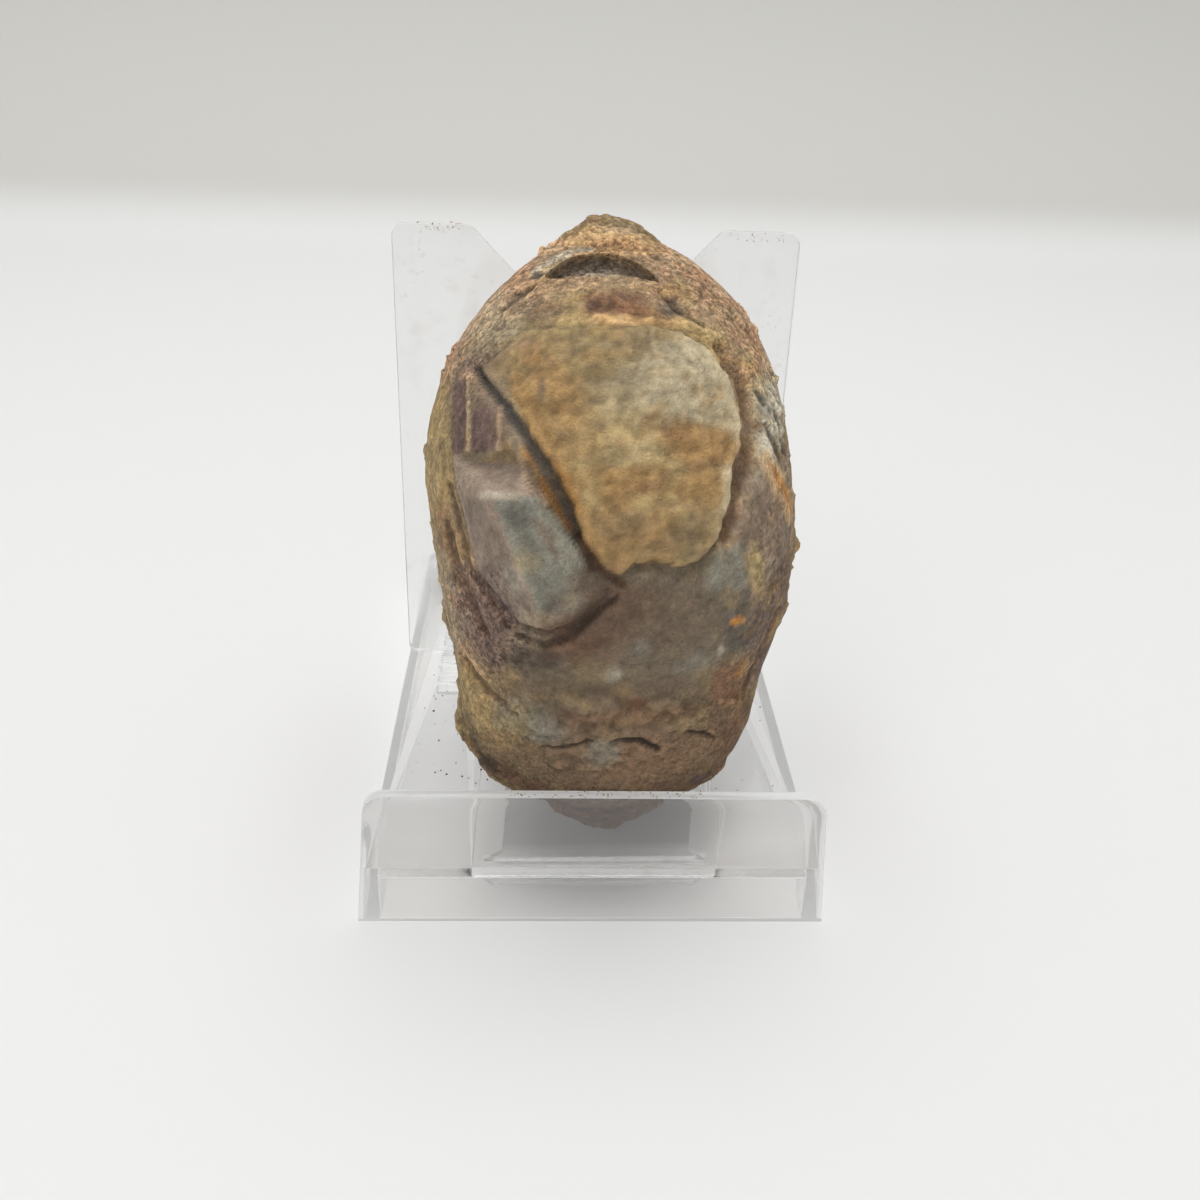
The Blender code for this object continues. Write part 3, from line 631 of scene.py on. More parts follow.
            (Hue.TAN, -16, 36, 9, 10, 0.8), (Hue.OCHRE, 10, 16, 14, 12, 0.6),
            (Hue.CREAM, -10, -2, 11, 8, 0.6, 20), (Hue.PURPLE, 14, -14, 9, 6, 0.6),
            (Hue.SAGE, -8, -26, 10, 6, 0.5), side=Side.BACK,
        ),
        *patches(
            (Hue.OCHRE, -10, 8, 9, 14, 0.5), (Hue.CREAM, 12, -10, 8, 11, 0.5),
            (Hue.PURPLE, -8, -20, 7, 6, 0.5), side=Side.LEFT,
        ),
        *patches(
            (Hue.CREAM, -6, 18, 7, 10, 0.55), (Hue.PURPLE, 8, -4, 8, 9, 0.5), (Hue.OCHRE, 6, 24, 7, 7, 0.5),
            side=Side.RIGHT,
        ),
    )

    def sphere(self) -> Array:
        """Points of a unit sphere, foot first and top last, closer together at the front.

        With s running evenly round from the front, the turn is s minus crowding times sin s,
        and the level is minus the cosine of an even slope from foot to top.
        """
        slope = np.linspace(0, math.pi, self.rows + 2)[1:-1]
        even = np.linspace(-math.pi, math.pi, self.columns, endpoint=False)
        turn = even - self.crowding * np.sin(even) - math.pi / 2
        slope, turn = (part.ravel() for part in np.meshgrid(slope, turn, indexing="ij"))
        ring = np.stack((np.cos(turn) * np.sin(slope), np.sin(turn) * np.sin(slope), -np.cos(slope)), axis=1)
        return np.vstack(((0, 0, -1), ring, (0, 0, 1)))

    def body(self, unit: Array) -> Array:
        """The bare form: at each level a section with half widths left, right, front and back.

        The level's girth is the root of 1 minus its square. Across and depth are the sine and
        cosine of the turn, raised to 2 over the section's power, times girth and half width.
        """
        level = unit[:, 2]
        girth = np.sqrt(np.clip(1 - level**2, 0, 1))
        turn = np.arctan2(unit[:, 1], unit[:, 0])
        across, along = np.cos(turn), np.sin(turn)
        left, right, front, back = (
            through_knots(knots, (level + 1) / 2) for knots in (self.left, self.right, self.front, self.back)
        )
        side = np.where(across > 0, right, left)
        deep = np.where(along > 0, back, front)
        power = 2 / self.section_power
        x = side * np.sign(across) * np.abs(across) ** power * girth
        y = deep * np.sign(along) * np.abs(along) ** power * girth
        return np.stack((x, y, level * self.length / 2), axis=1)

    def outward(self, body: Array) -> Array:
        """Unit directions out of the body, as on an ellipsoid of about its size."""
        slope = body / np.array((*self.about, self.length / 2)) ** 2
        return slope / np.linalg.norm(slope, axis=1)[:, None]

    def swelling(self, body: Array) -> Array:
        """Lumps and hollows, each a bell of its reach and height, and the broad weathering."""
        rise = self.weathering * rough(body, self.weathering_size, 3)
        for place, reach, height in self.lumps:
            distance = np.linalg.norm(body - np.array(place), axis=1) / reach
            rise += height * np.exp(-self.flatness * distance**2)
        return rise

    def block_rise(self, body: Array, out: Array) -> tuple[Array, Array]:
        """How far out of the body the broken chunk reaches, and which way its face looks there.

        The chunk is the hull of its corners. A line out of the body leaves it at the nearest
        face that it passes outwards, if it has by then passed every face that it enters by.
        """
        shape = bmesh.new()
        for corner in self.block_corners:
            shape.verts.new(corner)
        bmesh.ops.convex_hull(shape, input=shape.verts[:])
        shape.normal_update()
        normals = np.array([face.normal[:] for face in shape.faces])
        reach = np.array([face.normal.dot(face.verts[0].co) for face in shape.faces])
        shape.free()
        speed = out @ normals.T
        travel = (reach - body @ normals.T) / np.where(np.abs(speed) < 1e-6, 1e-6, speed)
        ahead = np.where(speed > 0, travel, np.inf)
        leave, side = ahead.min(axis=1), ahead.argmin(axis=1)
        enter = np.where(speed < 0, travel, -np.inf).max(axis=1)
        return np.where(enter < leave, np.maximum(leave, 0.0), 0.0), normals[side]

    def soften(self, rise: Array, where: Array, passes: int) -> Array:
        """Average each place's height with its four neighbours on the grid, where asked."""
        height = rise[1:-1].reshape(self.rows, self.columns)
        share = self.softening * where[1:-1].reshape(self.rows, self.columns)
        for _ in range(passes):
            beside = np.roll(height, 1, axis=1) + np.roll(height, -1, axis=1)
            above = np.vstack((height[1:], height[-1:]))
            below = np.vstack((height[:1], height[:-1]))
            height = height + share * ((beside + above + below) / 4 - height)
        return np.concatenate((rise[:1], height.ravel(), rise[-1:]))

    def zones(self, body: Array, out: Array) -> dict[str, Array]:
        """Where each kind of surface lies, as covers from 0 to 1 at each place."""
        x, z = body[:, 0], body[:, 2]
        faces_front = smooth(0.05, 0.4, -out[:, 1])
        wander = rough(body, 3.0, 2, 5)
        ragged = rough(body, 5.0, 3, 9)
        depth = inside_outline(x + 0.5 * wander, z + 0.5 * rough(body, 3.0, 2, 6), self.plate_outline)
        plate = smooth(-self.plate_edge / 2, self.plate_edge / 2, depth) * faces_front
        arch = (x - self.slit_middle[0]) / self.slit_reach[0]
        drop = z - self.slit_middle[1] - self.slit_bend * (0.3 - arch**2 * np.where(arch < 0, 0.8, 1.2))
        slit = 1 - np.where(arch < 0, arch**4, np.abs(arch) ** 2.2) - np.abs(drop) / self.slit_reach[1]
        slit += 0.05 * wander
        knob = smooth(*self.knob_foot, z + ragged) * (1 - smooth(*self.knob_side, np.abs(x - 1.0)))
        upper = smooth(*self.crust_foot, z + 3 * ragged) * (1 - 0.85 * knob)
        upper *= smooth(-0.75, -0.25, out[:, 1] + 0.2 * ragged)
        granular = Stain(Hue.UMBER, (-20.0, -12.0), (9.0, 9.0), 1.0)
        streaked = Stain(Hue.CHALK, (25.5, 19.0), (5.0, 9.0), 1.0, -16.0)
        facing = -out[:, 1]
        calm = smooth(*self.calm_top, z) * faces_front
        return {
            "front": faces_front,
            "plate": plate,
            "off_plate": 1 - plate,
            "slit": smooth(0.0, 0.22, slit) * faces_front,
            "crust": np.maximum(upper, granular.weight(x, z, facing, ragged)) * (1 - plate),
            "flank": (1 - plate) * (1 - smooth(0.55, 0.85, facing)),
            "streaked": streaked.weight(x, z, facing, ragged),
            "calm": calm * (1 - plate) * (1 - smooth(*self.calm_side, np.abs(x))),
            "wander": wander,
            "ragged": ragged,
        }

    def relief(self, body: Array, out: Array, zones: dict[str, Array]) -> Array:
        """Height of the surface over the bare form, from broad lumps down to single grains."""
        x, z = body[:, 0], body[:, 2]
        plate, crust = zones["plate"], zones["crust"]
        # the plate stands out most at its lower right and has lost a flake at its upper left
        share = np.clip(0.75 + (x - z) / (self.length / 2), 0.0, 1.0)
        lift = self.plate_rise[0] + (self.plate_rise[1] - self.plate_rise[0]) * share
        flake = smooth(-0.3, 0.3, self.flake_side - x + 0.4 * zones["wander"]) * smooth(*self.flake_foot, z)
        rise = self.swelling(body) + plate * (lift - 0.35 * flake)
        rise += plate * (0.25 * rough(body, 6.0, 3, 21) + 0.32 * strokes(body, 2.6, 24.0, 23))
        # broken ledges round the flanks
        ledges = z / self.ledge + 0.6 * rough(body, 14.0, 2, 31)
        rise += zones["flank"] * (0.45 * (ledges % 1.0) ** 3 + 0.5 * ridges(body, 4.5, 4, 33) - 0.8)
        # crags on the lower front, lower where it is calm
        crags = zones["off_plate"] * (1 - zones["flank"]) * (1 - crust) * smooth(*self.calm_top, z)
        crags = crags * (1 - 0.6 * zones["calm"] * smooth(*self.calm_foot, z))
        rise += crags * (0.62 * ridges(body, 6.0, 4, 35) - 0.3 + 0.42 * strokes(body, 2.4, -20.0, 37))
        # the shelf across the lower front
        step = smooth(*self.shelf_top, z + 1.5 * zones["ragged"]) * (1 - smooth(*self.shelf_side, np.abs(x)))
        rise += 0.7 * step * zones["front"] * smooth(*self.shelf_foot, z)
        # sand in the crust, fine streaks in the pale patch at the right
        packed, _ = grains(body, self.sand, 41)
        rise += crust * (0.15 - 0.8 * np.clip(packed, 0, 0.8))
        streaks = body @ np.array(((0.9, 0.0, 0.25), (0.0, 0.35, 0.0), (0.5, 0.0, 0.12)))
        rise += zones["streaked"] * 0.32 * (ridges(streaks, 2.2, 2, 51) - 0.5)
        rise += (0.2 + 0.5 * crust) * rough(body, 1.9, 2, 61)
        # the broken chunk, with its edges blunted, and the lines
        block, face = self.block_rise(body, out)
        block = block * zones["front"]
        zones["chunk"] = smooth(0.0, 0.5, block - np.maximum(rise, 0.0))
        zones["ledge"] = zones["chunk"] * smooth(0.4, 0.5, face[:, 2])
        zones["left_face"] = (zones["chunk"] - zones["ledge"]) * smooth(0.25, 0.3, -face[:, 0])
        zones["right_face"] = zones["chunk"] - zones["ledge"] - zones["left_face"]
        rise = np.where(block > rise, block + 0.2 * rough(body, 3.5, 3, 71), rise)
        near = np.prod([smooth(*band, way) for band, way in zip(self.blunted, (x, x, z, z))], axis=0)
        rise = self.soften(rise, near * zones["front"], 1)
        for seam in self.seams:
            spread = seam.spread(x, z, zones["wander"])
            rise -= seam.depth * np.exp(-(spread**2)) * zones["front"]
        everywhere = np.ones(len(rise))
        # painted light from the relief: crests get a painted highlight, pits painted shade
        zones["crest"] = np.tanh((rise - self.soften(rise, everywhere, 10)) / self.crest)
        return rise

    def paint(self, body: Array, out: Array, zones: dict[str, Array]) -> Array:
        """Colour of each place: a mottled ground, then patches, lines, slit, toe, veins, and painted shade
        and highlight.
        """
        x, y, z = body.T
        broad, fine = rough(body, 13.0, 3, 81), rough(body, 4.5, 3, 85)
        colour = np.repeat(Hue.OLIVE.pigment[None], len(body), axis=0)

        def lay(hue: Hue, cover: Array) -> None:
            """Mix a hue over what lies there by its cover."""
            colour[:] += (hue.pigment - colour) * np.clip(cover, 0, 1)[:, None]

        lay(Hue.UMBER, 0.6 * smooth(-0.1, 0.5, broad + 0.4 * fine))
        lay(Hue.OCHRE, 0.5 * smooth(0.05, 0.5, -broad + 0.5 * fine))
        lay(Hue.TAN, 0.9 * zones["crust"])
        lay(Hue.PINK, 0.8 * zones["crust"] * smooth(-0.3, 0.3, fine))
        # patches on every side, then lines on the front
        blur = rough(body, 4.2, 3, 91)
        places = {Side.FRONT: x, Side.BACK: -x, Side.LEFT: -y, Side.RIGHT: y}
        for stain in self.stains:
            facing = out @ np.array(stain.side.value)
            kept = zones[stain.zone] if stain.zone else 1.0
            lay(stain.hue, stain.weight(places[stain.side], z, facing, blur) * kept)
        for seam in self.seams:
            spread = seam.spread(x, z, zones["wander"])
            lay(seam.hue, seam.strength * (1 - smooth(0.5, 1.4, spread)) * zones["front"])
        # the dusty slit and the toe
        lay(Hue.MAUVE, smooth(0.1, 0.5, zones["slit"]))
        lay(Hue.CHALK, 0.3 * smooth(0.1, 0.5, zones["slit"]))
        lay(Hue.RUST, 0.95 * smooth(*self.toe, z))
        # veins, then uneven tone with painted light: painted highlight on crests and sand grains, painted
        # shade on the toe, in pits and between grains
        calm = zones["calm"]
        recess = Stain(Hue.UMBER, (-19.5, 19.0), (7.0, 8.0)).weight(x, z, -out[:, 1], blur)
        plain = (1 - zones["chunk"]) * (1 - 0.85 * calm) * (1 - recess)
        veins = strokes(body, 3.4, 24.0, 93) * plain
        lay(Hue.OCHRE, 0.45 * smooth(0.15, 0.6, veins))
        lay(Hue.DRAB, 0.3 * smooth(0.15, 0.6, -veins))
        uneven = 0.24 * rough(body, 1.4, 2, 95) + 0.2 * strokes(body, 4.0, 20.0, 97)
        mottle = self.brightness * (1 + uneven * (0.4 + 0.6 * plain))
        # painted shade: the toe under the stone is darkened by half; the plate is a little darker in tone
        mottle *= (1 - 0.08 * zones["plate"]) * (1 - 0.5 * smooth(*self.toe, z))
        # painted highlight on crests and painted shade in pits
        mottle *= 1 + (0.26 + 0.1 * zones["off_plate"]) * zones["crest"] * (1 - 0.2 * calm)
        mottle *= (1 - 0.1 * calm) * (1 - 0.12 * zones["chunk"])
        gaps, shade = grains(body, self.sand, 41)
        # each sand grain's own tone, with painted shade in the gaps between the grains
        mottle += zones["crust"] * (0.36 * shade + 0.04 - 0.36 * smooth(0.42, 0.75, gaps))
        return np.clip(colour * mottle[:, None], 0.0, 1.0)

    def into_stand(self, points: Array) -> Array:
        """Lean the stone back, set it in the stand and keep it clear of tongue and back plate."""
        turn = np.array(Euler((-math.radians(self.lean), math.radians(self.side_lean), 0.0)).to_matrix())
        placed = points @ turn.T + np.array(self.middle)
        placed[:, 2] = np.clip(placed[:, 2], self.clearance, self.highest)
        rearmost = BackPlate().face_at(placed[:, 2]) - self.clearance
        placed[:, 1] = np.clip(placed[:, 1], self.foremost, rearmost)
        return (placed + np.array((0.0, STAND_Y, BASE_TOP))) * MM

    def build(self) -> bpy.types.Object:
        """Make the stone's mesh with its colour and grain at every point."""
        body = self.body(self.sphere())
        out = self.outward(body)
        zones = self.zones(body, out)
        points = body + out * self.relief(body, out, zones)[:, None]
        points += zones["slit"][:, None] * np.array(self.slit_into)
        stone = mesh_object("nodule", self.into_stand(points), closed_faces(self.rows, self.columns))
        note_points(stone, "tint", np.column_stack((self.paint(body, out, zones), np.ones(len(body)))))
        coarse = 0.3 + 0.15 * zones["off_plate"] + 0.55 * zones["crust"] + 0.3 * zones["flank"]
        note_points(stone, "grain", np.clip(coarse, 0, 1))
        seat_piece(stone, "rusty_stone", "fossil_nodule")
        return stone


# ---------------------------------------------------------------- shader groups and finishes


class Nodes:
    """A node tree that is filled in few words."""

    def __init__(self, tree: Tree) -> None:
        """Keep the tree whose nodes are made."""
        self.tree = tree

    def feed(self, target: Socket, value: object) -> None:
        """Join a socket to an input, or set the input to a number or a colour."""
        if isinstance(value, Socket):
            self.tree.links.new(value, target)
        else:
            target.default_value = value

    def fill(self, node: bpy.types.Node, **settings: object) -> bpy.types.Node:
        """Set a node's properties, or feed its inputs of those names, with _ for a blank."""
        for name, value in settings.items():
            if hasattr(node, name):
                setattr(node, name, value)
            else:
                self.feed(node.inputs[name.replace("_", " ")], value)
        return node

    def add(self, kind: str, **settings: object) -> bpy.types.Node:
        """Make a node and fill it."""
        return self.fill(self.tree.nodes.new("ShaderNode" + kind), **settings)

    def math(self, operation: str, first: object, second: object) -> Socket:
        """A Math node on two sockets or numbers; gives its output."""
        node = self.add("Math", operation=operation)
        for target, value in zip(node.inputs, (first, second)):
            self.feed(target, value)
        return node.outputs[0]

    def times(self, first: object, second: object) -> Socket:
        """The product of two sockets or numbers."""
        return self.math("MULTIPLY", first, second)

    def plus(self, first: object, second: object) -> Socket:
        """The sum of two sockets or numbers."""
        return self.math("ADD", first, second)

    def mix(self, share: object, first: object, second: object, blend: str = "MIX") -> Socket:
        """Mix two colours by a share; each is a socket or a value."""
        node = self.add("Mix", data_type="RGBA", blend_type=blend)
        for index, value in ((0, share), (6, first), (7, second)):
            self.feed(node.inputs[index], value)
        return node.outputs[2]

    def noise(self, place: Socket, per_metre: float, detail: float) -> Socket:
        """Fractal noise on a place; gives its value of about 0.3 to 0.7."""
        node = self.add("TexNoise", Vector=place, Scale=per_metre, Detail=detail, Roughness=0.6)
        return node.outputs["Fac"]

    def ramp(self, value: Socket, low: float, high: float) -> Socket:
        """Spread the part of a value between low and high over 0 to 1, smoothly."""
        node = self.add("MapRange", interpolation_type="SMOOTHSTEP", From_Min=low, From_Max=high, Value=value)
        return node.outputs["Result"]

    def bump(self, height: Socket, strength: float, depth: float) -> Socket:
        """Turn a height into a normal."""
        return self.add("Bump", Strength=strength, Distance=depth, Height=height).outputs["Normal"]

    def place(self) -> Socket:
        """Where a point lies on its object, in metres."""
        return self.add("TexCoord").outputs["Object"]


def new_material(name: str) -> tuple[bpy.types.Material, bpy.types.Node, Nodes]:
    """Start a material; gives it, its Principled shader and a Nodes for it."""
    made = bpy.data.materials.new(name)
    made.use_nodes = True
    return made, made.node_tree.nodes["Principled BSDF"], Nodes(made.node_tree)


def shader_group(name: str, inputs: dict[str, tuple], outputs: dict[str, str]) -> tuple:
    """Start a shader group with typed sockets.

    Args:
        name: the group's name.
        inputs: socket name to (socket type, default value).
        outputs: socket name to socket type.

    Returns:
        The group, the outputs of its input node, its output node and a Nodes for it.
    """
    group = bpy.data.node_groups.new(name, "ShaderNodeTree")
    for label, (kind, default) in inputs.items():
        socket = group.interface.new_socket(label, in_out="INPUT", socket_type="NodeSocket" + kind)
        if default is not None:
            socket.default_value = default
    for label, kind in outputs.items():
        group.interface.new_socket(label, in_out="OUTPUT", socket_type="NodeSocket" + kind)
    return group, group.nodes.new("NodeGroupInput").outputs, group.nodes.new("NodeGroupOutput"), Nodes(group)


def stone_grain_group() -> Tree:
    """Fine speckle and sandy relief, shared by the stone and its crumbs."""
    group, given, result, nodes = shader_group(
        "stone_grain",
        {"Place": ("Vector", None), "Tint": ("Color", (0.3, 0.2, 0.1, 1.0)), "Coarseness": ("Float", 0.5)},
        {"Color": "Color", "Roughness": "Float", "Height": "Float"},
    )
    place, coarse = given["Place"], given["Coarseness"]
    middle = nodes.noise(place, 800.0, 5.0)
    pits = nodes.add("TexVoronoi", Scale=1900.0, Vector=place).outputs
    value = nodes.plus(nodes.times(nodes.noise(place, 2400.0, 5.0), 0.9), nodes.times(middle, 1.1))
    mottle = nodes.mix(nodes.ramp(value, 0.75, 1.25), (0.72, 0.71, 0.7, 1), (1.3, 1.29, 1.28, 1))
    calm = nodes.mix(nodes.plus(nodes.times(coarse, 0.8), 0.2), (1, 1, 1, 1), mottle)
    warm = nodes.times(nodes.ramp(nodes.noise(place, 700.0, 3.0), 0.56, 0.7), 0.12)
    warmed = nodes.mix(warm, nodes.mix(1.0, given["Tint"], calm, "MULTIPLY"), (0.5, 0.27, 0.1, 1))
    grain = nodes.add("SeparateColor", Color=pits["Color"]).outputs["Red"]
    lit = nodes.plus(nodes.times(grain, 0.9), 0.56)
    bright = nodes.add("CombineColor", Red=lit, Green=lit, Blue=lit).outputs["Color"]
    sanded = nodes.mix(nodes.times(coarse, coarse), warmed, nodes.mix(1.0, warmed, bright, "MULTIPLY"))
    pores = nodes.ramp(nodes.noise(place, 950.0, 2.0), 0.36, 0.27)
    dark = nodes.times(pores, nodes.times(coarse, 0.7))
    sandy = nodes.times(nodes.math("SUBTRACT", 1.0, pits["Distance"]), coarse)
    uneven = nodes.times(value, nodes.plus(coarse, 0.7))
    nodes.fill(
        result,
        Color=nodes.mix(dark, sanded, (0.035, 0.028, 0.022, 1)),
        Roughness=nodes.plus(nodes.times(middle, 0.35), 0.62),
        Height=nodes.plus(nodes.times(sandy, 0.8), nodes.times(uneven, 1.3)),
    )
    return group


def scuff_and_shade_group() -> Tree:
    """Haze and scratches on clear plastic: a rougher mask, a dusty tint, and painted shade under the stone.
    """
    group, given, result, nodes = shader_group(
        "plastic_scuffs_and_shade",
        {
            "Place": ("Vector", None),
            "Amount": ("Float", 0.5),
            "Clear": ("Color", (0.96, 0.96, 0.96, 1.0)),
            "Haze": ("Float", 0.07),
            "Under": ("Color", (0.9, 0.9, 0.9, 1.0)),
        },
        {"Roughness": "Float", "Tint": "Color", "Height": "Float"},
    )
    place, amount = given["Place"], given["Amount"]
    haze = nodes.ramp(nodes.noise(place, 55.0, 5.0), 0.45, 0.7)
    drawn_out = nodes.add("Mapping", Rotation=(0.3, 0.5, 0.7), Scale=(1.0, 6.0, 14.0), Vector=place)
    scratches = nodes.ramp(nodes.noise(drawn_out.outputs["Vector"], 160.0, 2.0), 0.66, 0.72)
    worn = nodes.plus(nodes.times(haze, 0.16), nodes.times(scratches, 0.12))
    smears = nodes.times(nodes.ramp(nodes.noise(place, 130.0, 5.0), 0.55, 0.75), amount)
    dusty = nodes.times(nodes.ramp(nodes.noise(place, 420.0, 4.0), 0.6, 0.75), amount)
    smeared = nodes.mix(smears, given["Clear"], (0.88, 0.86, 0.84, 1))
    dusted = nodes.mix(dusty, smeared, (0.8, 0.77, 0.72, 1))
    # painted shade under the stone: between the two bands in y the tint turns to the painted shade colour
    along = nodes.add("SeparateXYZ", Vector=place).outputs["Y"]
    begun, not_ended = (nodes.ramp(along, low * MM, high * MM) for low, high in (SHADE_UNDER_STONE_FRONT, SHADE_UNDER_STONE_REAR))
    below = nodes.times(begun, not_ended)
    nodes.fill(
        result,
        Roughness=nodes.plus(nodes.times(worn, amount), given["Haze"]),
        Tint=nodes.mix(below, dusted, given["Under"]),
        Height=nodes.times(scratches, 0.08),
    )
    return group


@dataclass(frozen=True)
class StoneFinish:
    """Weathered rock: dull, speckled, sandy."""

    name: str = "rusty_stone"
    relief: float = 0.9
    depth: float = 0.5 * MM
    shine: float = 0.3

    def material(self, grain: Tree) -> bpy.types.Material:
        """Make the rock's material from the stone_grain group and the tint and grain of each point."""
        made, shader, nodes = new_material(self.name)
        tint = nodes.add("Attribute", attribute_name="tint").outputs["Color"]
        coarse = nodes.add("Attribute", attribute_name="grain").outputs["Fac"]
        speckle = nodes.add("Group", node_tree=grain, Place=nodes.place(), Tint=tint, Coarseness=coarse)
        nodes.fill(
            shader,
            Base_Color=speckle.outputs["Color"],
            Roughness=speckle.outputs["Roughness"],
            Normal=nodes.bump(speckle.outputs["Height"], self.relief, self.depth),
            Specular_IOR_Level=self.shine,
        )
        return made


@dataclass(frozen=True)
class ClearFinish:
    """Clear moulded plastic: see-through, glossy, a little hazy and scuffed, with painted shade below the
    stone and a painted glow at worn edges.
    """

    name: str
    ior: float = 1.49
    clearness: float = 0.93
    lets_through: float = 0.92  # share of lamp light that passes each wall
    scuffs: float = 1.0
    tint: tuple = (0.96, 0.965, 0.965, 1.0)
    under: tuple = (0.9, 0.9, 0.9, 1.0)  # painted shade below the stone, standing in for its shadow and its dark reflection in the plastic
    haze: float = 0.07
    painted_edge_glow: float = 0.0  # painted glow: light given off by the worn edges, standing in for light gathered in the sheet that leaves there
    relief: float = 0.25
    depth: float = 0.05 * MM

    def material(self, scuffs: Tree) -> bpy.types.Material:
        """Make the plastic's material around the plastic_scuffs_and_shade group."""
        made, shader, nodes = new_material(self.name)
        held = nodes.times(nodes.add("LightPath").outputs["Is Shadow Ray"], self.lets_through)
        worn = nodes.add("Group", node_tree=scuffs, Place=nodes.place(), Amount=self.scuffs, Clear=self.tint)
        nodes.fill(worn, Haze=self.haze, Under=self.under)
        nodes.fill(
            shader,
            Base_Color=worn.outputs["Tint"],
            Roughness=worn.outputs["Roughness"],
            Normal=nodes.bump(worn.outputs["Height"], self.relief, self.depth),
            Alpha=nodes.math("SUBTRACT", 1.0, held),
            Transmission_Weight=self.clearness,
            IOR=self.ior,
            # the painted glow of the worn edges
            Emission_Strength=self.painted_edge_glow,
        )
        return made


# ---------------------------------------------------------------- the stand


@dataclass
class Moulding:
    """A clear plastic piece of the stand; sizes in mm."""

    node: str
    name: str
    slot: str
    finish: ClearFinish
    # finish of the frosted worn edges, which also carries a painted glow
    glowing_worn_edge: ClearFinish
    edge: float  # radius of its rounded edges
    true_faces: bool  # whether flat faces refract as flat, or a little bent as a cheap moulding's
    narrow: float = 2.3  # faces no wider than this are worn like the edges
    worn_side: float = 0.85  # and those that look this much to the side
    flat: float = 1.0  # degrees: faces that differ by less are one face
    corner: float = 40.0  # degrees: sharper edges are rounded

    def build(self, scuffs: Tree) -> bpy.types.Object:
        """Copy the piece's solid and round its edges as a mould does.

        Args:
            scuffs: the plastic_scuffs_and_shade group.

        Returns:
            The new piece, which replaces the node.
        """
        shape = bmesh.new()
        shape.from_mesh(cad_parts[self.node].data)
        verts, edges = shape.verts, shape.edges
        bmesh.ops.remove_doubles(shape, verts=verts[:], dist=MERGE * MM)
        bmesh.ops.dissolve_limit(shape, angle_limit=math.radians(self.flat), verts=verts[:], edges=edges[:])
        for face in shape.faces:
            rim = sum(edge.calc_length() for edge in face.edges)
            narrow = 2 * face.calc_area() / rim < self.narrow * MM
            face.material_index = int(narrow or abs(face.normal.x) > self.worn_side)
        mesh = bpy.data.meshes.new(self.name)
        shape.to_mesh(mesh)
        shape.free()
        piece = scene_object(self.name, mesh)
        bevel = piece.modifiers.new("moulded_edges", "BEVEL")
        bevel.width = self.edge * MM
        bevel.segments = 2
        bevel.limit_method = "ANGLE"
        bevel.angle_limit = math.radians(self.corner)
        bevel.material = 1
        bevel.harden_normals = not self.true_faces
        if self.true_faces:
            piece.modifiers.new("true_faces", "WEIGHTED_NORMAL").weight = 100
        for finish in (self.finish, self.glowing_worn_edge):
            mesh.materials.append(finish.material(scuffs))
        seat_piece(piece, self.slot, self.node)
        return piece


@dataclass
class BackPlate(Moulding):
    """The upright plate with its tongue."""

    node: str = "stand_back"
    name: str = "moulded_back"
    slot: str = "clear_back"
    # the tongue under the stone gets dark painted shade, standing in for the stone's shadow and dark
    # reflection
    finish: ClearFinish = ClearFinish("clear_back", scuffs=0.8, under=(0.73, 0.73, 0.75, 1.0))
    # frosted worn edges with a faint painted glow
    glowing_worn_edge: ClearFinish = ClearFinish("glowing_worn_edge_back", clearness=0.5, haze=0.3, painted_edge_glow=0.04)
    edge: float = 0.3
    true_faces: bool = True
    front_y: float = 71.8  # from the lip to the plate's front face at its foot
    lean: float = 2.25

    def face_at(self, rise: float | Array) -> float | Array:
        """How far behind the lip the front face stands, at a height over the base plate."""
        return self.front_y + rise * math.tan(math.radians(self.lean))


@dataclass
class BaseTray(Moulding):
    """The tray with its lip, slot and racks."""

    node: str = "stand_base"
    name: str = "moulded_base"
    slot: str = "clear_base"
    # the grey tint is partly the plastic's own tone and partly painted shade for the tray's shadow on the
    # table seen through it
    finish: ClearFinish = ClearFinish(
        "clear_base", clearness=0.965, scuffs=0.5, tint=(0.88, 0.87, 0.86, 1.0), haze=0.05
    )
    # frosted worn edges with a painted glow
    glowing_worn_edge: ClearFinish = ClearFinish("glowing_worn_edge_base", clearness=0.5, haze=0.3, painted_edge_glow=0.08)
    edge: float = 0.25
    true_faces: bool = False


# ---------------------------------------------------------------- crumbs


@dataclass(frozen=True)
class Scatter:
    """A place where crumbs lie: a box in mm, how many, their half sizes and their colour."""

    low: tuple[float, float, float]
    high: tuple[float, float, float]
    count: int
    size: tuple[float, float]
    hue: Hue
    leans: bool = False  # on the back plate's front face


